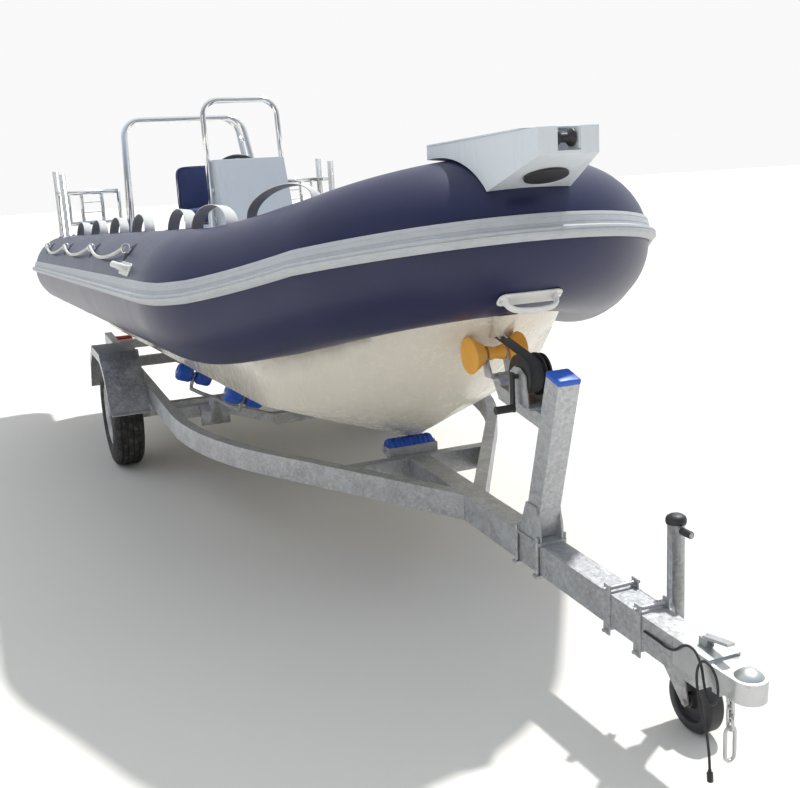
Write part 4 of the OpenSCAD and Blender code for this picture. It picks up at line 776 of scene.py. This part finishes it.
class BOAT_OT_seat(bpy.types.Operator):
    """Helm seat: crowned cushion and backrest with piping and sewn channels"""

    bl_idname = "boat.seat"
    bl_label = "Helm seat"

    def execute(self, context):
        for node in ("seat_cushion", "seat_backrest"):
            low, high = (np.array(v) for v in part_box(node))
            if node == "seat_backrest":
                low[2] = high[2] - 0.330
                high[0] = low[0] + 0.090
            grids, mid, half, thin, others = cushion_grid(low, high, sizes().crown, 0.03)
            pad = build(node + "_pad", [weave(g, False) for g in grids], "vinyl",
                        stands_for=[node], smooth=180, weld=True)
            a = round_angles(120)
            power = 0.25
            c, s = np.cos(a), np.sin(a)
            for sign in (-1, 1):
                path = np.empty((len(a), 3))
                path[:, others[0]] = mid[others[0]] + 0.985 * half[others[0]] \
                    * np.sign(c) * np.abs(c) ** power
                path[:, others[1]] = mid[others[1]] + 0.985 * half[others[1]] \
                    * np.sign(s) * np.abs(s) ** power
                path[:, thin] = mid[thin] + sign * (half[thin] - sizes().crown) * 0.9
                build(f"{node}_piping_{'upper' if sign > 0 else 'lower'}",
                      [weave(carry(path, circle(0.0035, 8), True), ring=True)],
                      "vinyl")
        low, high = (np.array(v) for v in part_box("seat_backrest"))
        x0, x1 = low[0] + 0.088, high[0]
        brackets = []
        for side in (-1, 1):
            path = np.array([[(x0 + x1) / 2, side * 0.15, low[2] + 0.001],
                             [(x0 + x1) / 2, side * 0.15, low[2] + 0.15]])
            brackets.append(weave(carry(path, rounded_box(0.019, (x1 - x0) / 2, 0.003))))
        build("backrest_brackets", brackets, "stainless", smooth=35)
        return {"FINISHED"}


STRAPS = [aft_line(np.array(x)) for x in (-1200.0, -550.0, 130.0, 800.0, 1640.0)]
STRAPS.append(arc(BEND_C, BEND_R, np.array(math.radians(11))))
_ends = [arc(BEND_C, BEND_R, np.array(BOW_TAPER)), arc(BOW_C, BOW_R, np.array(BOW_TAPER))]
STRAPS.append(_ends[0] + (_ends[1] - _ends[0]) * 0.42)


class BOAT_OT_soft_fittings(bpy.types.Operator):
    """Grab straps, lifelines on their rings, and the moulded carry handles"""

    bl_idname = "boat.soft_fittings"
    bl_label = "Straps, lines and handles"

    def straps(self, side, name):
        """Webbing bent over a half ellipse, its ends flared into two sewn feet."""
        a = np.linspace(0, math.pi, 41)
        bow = np.stack([160 * np.cos(a), 84 * np.sin(a) ** 0.9 + 1.0], -1)
        web, pad = rounded_box(25, 1.7, 1.2, 3), rounded_box(29, 2.0, 1.5, 3)
        t = np.gradient(bow, axis=0)
        t /= np.linalg.norm(t, axis=1)[:, None]
        normal = np.stack([t[:, 1], -t[:, 0]], -1)
        flat = bow[:, None] + web[None, :, 1, None] * normal[:, None]
        # Painted shade: the inner faces of each loop, towards the tube, take the darker grey
        # webbing instead of the white.
        under = (web[:, 1] + np.roll(web, -1, 0)[:, 1]) < 0
        index = (list(np.tile(under.astype(int), len(a) - 1)) + [0, 0]) * len(STRAPS)
        top = STRAKE + 5 * SIDE_STEP
        loops, feet = [], []
        for st in STRAPS:
            place = tube_frame(st, side, top, 2.4 - float(tube_r(st[0])) * FACET)
            loops.append(weave(row(standing(place, flat[..., 1], flat[..., 0], web[:, 0]))))
            place = tube_frame(st, side, top, -2.1)
            for end in (-158, 158):
                run = np.array([[end - 34], [end + 34]])
                feet.append(weave(row(standing(place, pad[:, 1], run, pad[:, 0]))))
        build(name, loops, ["webbing", "webbing_grey"], stands_for=[name[:-5]], smooth=50,
              index=index)
        build(name.replace("skin", "feet"), feet, "patch", smooth=50)

    def line(self, side, name, node):
        """Rope through four rings, each span hanging as a parabola round the tube."""
        t = np.linspace(0, 1, 25)[:-1]
        x = np.concatenate(
            [a + (b - a) * t for a, b in zip(LINE_RINGS, LINE_RINGS[1:])] + [LINE_RINGS[-1:]])
        share = np.concatenate([np.tile(t, 3), [0.0]])
        lift = 20 + 10 * (1 - 2 * share) ** 4
        ang = STRAKE + 2 * SIDE_STEP - np.radians(11) * 4 * share * (1 - share)
        st = np.column_stack([aft_line(x), np.full(len(x), side)])
        pts = skin_points(st, (tube_r(x) * (1 - FACET * 0.5) + lift)[:, None], ang[:, None])[:, 0]
        path = row(pts)
        o = build(name, [weave(carry(path, circle(0.0075, 10)))], "rope",
                  stands_for=[node])

    def rings(self):
        """Round fabric patches, each with a steel ring sewn under a tab."""
        discs, tabs, rings = [], [], []
        radius, height = np.array([[0.5, 3.4], [30, 3.2], [33, 2.6], [38, 1.6], [47, 1.2],
                                   [48, 0.2]]).T[..., None]
        b, c = round_angles(40), round_angles(28)
        rise, run = np.array([3, 5, 9, 5, 3.0]), np.array([-30, -8, 0, 8, 30.0])
        tab = rounded_box(13, 1.4, 1.0, 3)
        for side in (1, -1):
            for x in LINE_RINGS:
                r = float(tube_r(x))
                place = tube_frame(aft_line(x), side, STRAKE + 2 * SIDE_STEP, -r * 0.003 + 0.2)
                across = radius * np.sin(b)
                disc = standing(place, height - across ** 2 / (2 * r), radius * np.cos(b), across)
                discs.append(weave(row(disc)))
                loop = standing(place, 20 + 17 * np.cos(c), 0,
                                19 * np.sin(c) * (1 - 0.25 * np.cos(c)))
                rings.append(weave(carry(row(loop), circle(0.003, 8), True), ring=True))
                tabs.append(weave(row(standing(place, rise[:, None] + tab[:, 1], run[:, None],
                                               tab[:, 0]))))
        build("line_patches", discs, "patch", stands_for=["lifeline_patches"], smooth=50)
        build("line_rings", rings, "stainless")
        build("line_tabs", tabs, "webbing_grey", smooth=50)

    def handles(self):
        """Moulded loops: an oval bar bent over a long arch, on a plate with round ends."""
        places = [(arc(BOW_C, BOW_R, math.pi / 2), 1, STRAKE - 3 * SIDE_STEP)]
        places += [(aft_line(1720.0), side, STRAKE + SIDE_STEP) for side in (1, -1)]
        arch = curve_through([[-92, 0], [-90, 14], [-84, 32], [-66, 46], [-34, 52], [0, 54],
                              [34, 52], [66, 46], [84, 32], [90, 14], [92, 0]], 61)
        t = round_angles(20)
        wide = 13 + 7 * np.clip((26 - arch[:, 1]) / 26, 0, 1)
        d = np.gradient(arch, axis=0)
        d /= np.linalg.norm(d, axis=1)[:, None]
        flat = arch[:, None] + (7.5 * np.sin(t))[None, :, None] \
            * np.stack([d[:, 1], -d[:, 0]], -1)[:, None]
        run = np.array([-115, -113, -106, -94, -80, 80, 94, 106, 113, 115.0])[:, None]
        half = np.array([8, 17, 24, 28, 28, 28, 28, 24, 17, 8.0])[:, None]
        edge = rounded_box(1, 2.6, 0.5, 3)
        head_r = np.array([5.5, 5.5, 4.6, 3.0, 0.3])[:, None]
        head_z = np.array([4, 6.4, 7.6, 8.3, 8.5])[:, None]
        bars, plates, bolts = [], [], []
        for st, side, angle in places:
            place = tube_frame(st, side, angle, 0.8 - float(tube_r(st[0])) * FACET)
            bars.append(standing(place, flat[..., 1], flat[..., 0], wide[:, None] * np.cos(t)))
            plates.append(standing(place, 2.9 + edge[:, 1], run, half * edge[:, 0]))
            for end in (-106, 106):
                bolts.append(standing(place, head_z, end + head_r * np.cos(t),
                                      head_r * np.sin(t)))
        build("carry_handle_bars", [weave(row(g)) for g in bars + plates], "white",
              stands_for=["carry_handles"], smooth=45)
        build("carry_handle_bolts", [weave(row(g)) for g in bolts], "stainless", smooth=50)

    def execute(self, context):
        for side, name in ((1, "port"), (-1, "starboard")):
            self.straps(side, f"grab_straps_{name}_skin")
            self.line(side, f"lifeline_{name}_rope", f"lifeline_{name}")
        self.rings()
        self.handles()
        return {"FINISHED"}


class BOAT_OT_caps(bpy.types.Operator):
    """Cap and crank grip of the jockey leg, and the cap on the winch post"""

    bl_idname = "boat.caps"
    bl_label = "Caps"

    def execute(self, context):
        dome = np.array([[28.5, 392], [30, 396], [30, 404], [27, 412], [20, 417], [10, 419.5],
                         [0.4, 420]]) + [0, 205]
        build("jockey_cap", [weave(row(turned(dome, [3775, 137, 0], 48, "Z")))],
              "black", "jockey_leg", smooth=45)
        shape = np.array([[8.6, 24], [10.5, 26], [11, 34], [11, 64], [9.5, 69], [.4, 70.0]])
        a = round_angles(24)
        grip = np.array([3775.0, 137, 581]) + np.stack([
            shape[:, 1, None] + 0 * a, shape[:, 0, None] * np.cos(a),
            shape[:, 0, None] * np.sin(a)], -1)
        build("jockey_grip", [weave(row(grip))], "black", "jockey_leg", smooth=45)
        tilt, lean = math.radians(2.04), math.radians(14.5)
        turn = Matrix.Rotation(tilt, 3, "Y") @ Matrix.Rotation(lean, 3, "Y")
        up, fore = np.array(turn.col[2]), np.array(turn.col[0])
        foot = np.array([0.0, 0, 528.0]) + 3243 * np.array(Matrix.Rotation(tilt, 3, "Y").col[0])
        heights = np.array([578, 582, 590, 594, 596.0])
        grow = np.array([0.97, 1.0, 1.0, 0.96, 0.86])
        ring = rounded_box(40.5, 40.5, 6, 5)
        g = foot + heights[:, None, None] * up \
            + ring[None, :, :1] * grow[:, None, None] * fore \
            + ring[None, :, 1:] * grow[:, None, None] * np.array([0, 1.0, 0])
        build("winch_post_cap", [weave(row(g))], "cap", smooth=50)
        return {"FINISHED"}


class BOAT_OT_wheels(bpy.types.Operator):
    """Grooved tyres of the road wheels"""

    bl_idname = "boat.wheels"
    bl_label = "Tyres"

    def execute(self, context):
        r, w, rim = 305.0, 87.5, 168.0  # tyre's radius, half width and seat on the rim
        prof = np.array([[rim + 1, 62], [rim + 9, 68], [rim + 16, 74], [rim + 26, 82],
                         [rim + 40, w - .5], [rim + 60, w - 1], [rim + 62, w + .0],
                         [rim + 66, w + .0], [rim + 68, w - 1.2], [rim + 84, w - 2.5],
                         [r - 30, w - 7], [r - 17, w - 14], [r - 8, w - 22], [r - 2.5, w - 30]])
        tread_y = np.array([56, 50, 49, 43, 42, 30, 20, 19, 13, 12, 0.0])
        depth = np.array([0, 0, 6, 6, 0, 0, 0, 6, 6, 0, 0.0])
        top = np.column_stack([r - 0.3 - 1.6 * (tread_y / 57.5) ** 2 - depth, tread_y])
        half = np.concatenate([prof, top])
        full = np.concatenate([half, half[-2::-1] * [1, -1]])
        inner = np.array([[rim + 12, -50], [rim + 62, -70], [r - 30, -58], [r - 30, 58],
                          [rim + 62, 70], [rim + 12, 50]])
        loop = np.concatenate([full, inner])
        for side, name in ((1, "port"), (-1, "starboard")):
            count, hub = 240, np.array([0, side * 910.0, r])
            g = turned(loop, hub, count)
            # sipes: every fourth slice of the shoulder blocks sinks towards the axle
            shoulder = (np.abs(loop[:, 1]) > 26) & (loop[:, 0] > r - 9)
            sink = 4.5 * shoulder[:, None] * (np.arange(count) % 4 == 0)
            out = g - hub
            out[..., 1] = 0
            out /= np.linalg.norm(out, axis=-1, keepdims=True)
            g = row(g - out * sink[..., None])
            build(f"tyre_{name}_tread", [weave(np.concatenate([g, g[:1]]), caps=False)],
                  "tyre", f"wheel_{name}", [f"tyre_{name}"], 40)
        return {"FINISHED"}


class BOAT_OT_winch(bpy.types.Operator):
    """Taut webbing strap from the winch drum to the bow eye, with its shackle"""

    bl_idname = "boat.winch"
    bl_label = "Winch strap"

    def execute(self, context):
        # the strap's pin, its slope, its straight run, and the radius of the wound drum
        pin, turn, reach, wound = np.array([3006.6, 0, 1051.4]), math.radians(13.02), 206.9, 58.3
        along = np.array([math.cos(turn), 0, -math.sin(turn)])
        up = np.array([math.sin(turn), 0, math.cos(turn)])
        # it leaves the eye, runs straight, then wraps 150 degrees of the drum
        d = np.linspace(9, reach, 22)
        line = pin + d[:, None] * along
        drum = pin + reach * along - wound * up
        b = np.linspace(0, math.radians(150), 22)[1:]
        wrap = drum + wound * (np.cos(b)[:, None] * up + np.sin(b)[:, None] * along)
        path = np.concatenate([line, wrap])
        t = np.gradient(path, axis=0)
        t /= np.linalg.norm(t, axis=1)[:, None]
        nrm = np.cross(t, [0, 1.0, 0])
        shape = rounded_box(23.5, 1.3, 1.0, 3)
        g = path[:, None] + shape[None, :, :1] * np.array([0, 1.0, 0]) \
            + shape[None, :, 1:] * nrm[:, None]
        build("winch_strap_web", [weave(row(g))], "strap",
              stands_for=["winch_strap"], smooth=50)
        a = np.linspace(-math.pi / 2, math.pi / 2, 17)
        bow = pin + np.outer(18 - 16 * np.cos(a), along) + np.outer(13 * np.sin(a), [0, 1, 0])
        legs = np.concatenate([[pin + 34 * along - [0, 13, 0]], bow,
                               [pin + 34 * along + [0, 13, 0]]])
        build("strap_shackle", [weave(carry(row(legs), circle(0.0042, 10)))],
              "stainless")
        return {"FINISHED"}


CORD_ROUTE = np.array([
    [3880, -49, 352], [3940, -49, 350], [3985, -52, 350], [4020, -55, 360], [4050, -56, 384],
    [4080, -58, 398], [4110, -60, 394], [4134, -62, 368], [4146, -64, 334], [4160, -67, 304],
    [4180, -70, 290], [4200, -73, 300], [4212, -74, 330], [4206, -74, 368], [4186, -74, 392],
    [4160, -75, 396], [4142, -76, 378], [4138, -79, 346], [4148, -82, 306], [4166, -84, 262],
    [4184, -84, 214], [4194, -84, 166], [4198, -84, 122]], float)


class BOAT_OT_coupling(bpy.types.Operator):
    """Lamp cable that hangs beside the coupling, with its plug"""

    bl_idname = "boat.coupling"
    bl_label = "Lamp cable"

    def execute(self, context):
        path = row(curve_through(CORD_ROUTE, 110))
        o = build("lamp_cable", [weave(carry(path, circle(0.0035, 8)))], "cable",
                  stands_for=["wiring_cord"])
        end, t = path[-1], path[-1] - path[-2]
        t /= np.linalg.norm(t)
        plug = end + np.array([-0.002, 0, .006, .008, .03, .032, .0325])[:, None] * t
        grow = np.array([3.6, 4.5, 5, 8, 8, 7, 5]) / 1000
        ring = carry(plug, circle(1.0, 16))
        ring = plug[:, None] + (ring - plug[:, None]) * grow[:, None, None]
        p = build("lamp_plug", [weave(ring)], "black", smooth=40)
        return {"FINISHED"}


class BOAT_OT_stage(bpy.types.Operator):
    """Pale floor, sun, dome and the camera"""

    bl_idname = "boat.stage"
    bl_label = "Stage"

    def floor(self, scene, half=60.0):
        """A square of pale floor."""
        mesh = bpy.data.meshes.new("floor")
        mesh.from_pydata([(-half, -half, 0), (half, -half, 0), (half, half, 0),
                          (-half, half, 0)], [], [(0, 1, 2, 3)])
        mesh.materials.append(studio_floor("pale_floor"))
        floor = bpy.data.objects.new("floor", mesh)
        scene.collection.objects.link(floor)

    def dome(self, scene):
        """A dome bright above and behind the bow and dim in front; the camera sees it white."""
        world = scene.world = bpy.data.worlds.new("studio")
        world.use_nodes = True
        nodes, link = world.node_tree.nodes, world.node_tree.links.new
        sky = nodes["Background"]
        place, along, half, shade, ray, pick = (
            nodes.new("ShaderNode" + kind) for kind in
            ("TexCoord", "VectorMath", "Math", "ValToRGB", "LightPath", "Mix"))
        along.operation = "DOT_PRODUCT"
        along.inputs[1].default_value = (-0.33, 0.12, 0.36)  # half a unit long, to the light
        half.operation = "ADD"
        half.inputs[1].default_value = 0.5
        stops = ((0.0, (0.20, 0.17, 0.14)), (0.3, (0.30, 0.28, 0.27)), (0.52, (0.50, 0.58, 0.72)),
                 (0.75, (0.85, 0.93, 1.0)), (1.0, (1.0, 1.0, 1.0)))
        while len(shade.color_ramp.elements) < len(stops):
            shade.color_ramp.elements.new(0.5)
        for e, (at, colour) in zip(shade.color_ramp.elements, stops):
            e.position, e.color = at, (*colour, 1)
        pick.data_type = "RGBA"
        pick.inputs[7].default_value = (1.0, 1.0, 1.0, 1)
        for a, b in ((place.outputs["Generated"], along.inputs[0]),
                     (along.outputs["Value"], half.inputs[0]),
                     (half.outputs[0], shade.inputs[0]), (shade.outputs[0], pick.inputs[6]),
                     (ray.outputs["Is Camera Ray"], pick.inputs[0]),
                     (pick.outputs[2], sky.inputs["Color"])):
            link(a, b)
        sky.inputs["Strength"].default_value = 0.95

    def lamp(self, scene, kind, place, aim, power):
        """One lamp at a place, turned to its aim."""
        lamp = bpy.data.lights.new(kind.lower(), kind)
        lamp.energy = power
        o = bpy.data.objects.new(lamp.name, lamp)
        scene.collection.objects.link(o)
        o.location = place
        way = np.array(aim) - place
        o.rotation_euler = (math.atan2(math.hypot(way[0], way[1]), -way[2]), 0,
                            -math.atan2(way[0], way[1]))
        return lamp

    def camera(self, scene):
        """The camera, from its place and its yaw, pitch and roll."""
        yaw, pitch, roll = (math.radians(v) for v in (22.25, 12.58, -3.09))
        d = np.array([-math.cos(yaw) * math.cos(pitch), math.sin(yaw) * math.cos(pitch),
                      -math.sin(pitch)])
        r = np.cross(d, [0, 0, 1.0])
        r /= np.linalg.norm(r)
        u = np.cross(r, d)
        c, s = math.cos(roll), math.sin(roll)
        cam = bpy.data.objects.new("camera", bpy.data.cameras.new("camera"))
        scene.collection.objects.link(cam)
        cam.data.lens, cam.data.sensor_width = 45.93, 36.0
        turn = Matrix((c * r + s * u, c * u - s * r, -d)).transposed().to_4x4()
        turn.translation = (4.92298, -1.6087, 1.6274)
        cam.matrix_world = turn
        scene.camera = cam

    def execute(self, context):
        scene = context.scene
        self.floor(scene)
        self.dome(scene)
        self.lamp(scene, "SUN", (-2.8, 4.5, 8.6), (0, 0, 0), 3.4).angle = math.radians(2)
        self.lamp(scene, "AREA", (6.5, -6.0, 3.0), (1.0, 0, 0.9), 60).size = 4.0
        self.camera(scene)
        scene.view_settings.view_transform = "Standard"
        scene.view_settings.exposure = 0.0
        return {"FINISHED"}


class BOAT_PT_panel(bpy.types.Panel):
    """Lists the boat's settings and its pieces"""

    bl_idname = "BOAT_PT_panel"
    bl_label = "Boat on trailer"
    bl_space_type = "VIEW_3D"
    bl_region_type = "UI"
    bl_category = "Boat"

    def draw(self, context):
        for group in (context.scene.boat_colours, context.scene.boat_sizes):
            for key in group.__annotations__:
                self.layout.prop(group, key)
        for op in PIECES:
            self.layout.operator(op.bl_idname)


PIECES = (BOAT_OT_stage, BOAT_OT_coupling, BOAT_OT_soft_fittings, BOAT_OT_collar,
          BOAT_OT_fitted, BOAT_OT_seat, BOAT_OT_caps, BOAT_OT_wheels, BOAT_OT_winch)
CLASSES = (BoatColours, BoatSizes, *PIECES, BOAT_PT_panel)


def register():
    """Registers the classes and hangs the settings on the scene."""
    for cls in CLASSES:
        bpy.utils.register_class(cls)
    bpy.types.Scene.boat_colours = bpy.props.PointerProperty(type=BoatColours)
    bpy.types.Scene.boat_sizes = bpy.props.PointerProperty(type=BoatSizes)


def unregister():
    """Takes the settings and the classes away again."""
    del bpy.types.Scene.boat_colours, bpy.types.Scene.boat_sizes
    for cls in reversed(CLASSES):
        bpy.utils.unregister_class(cls)


def main():
    """Registers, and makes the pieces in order."""
    register()
    make_finishes(colours())
    for op in PIECES:
        group, name = op.bl_idname.split(".")
        getattr(getattr(bpy.ops, group), name)()
    bpy.context.view_layer.update()


if __name__ == "__main__":
    main()
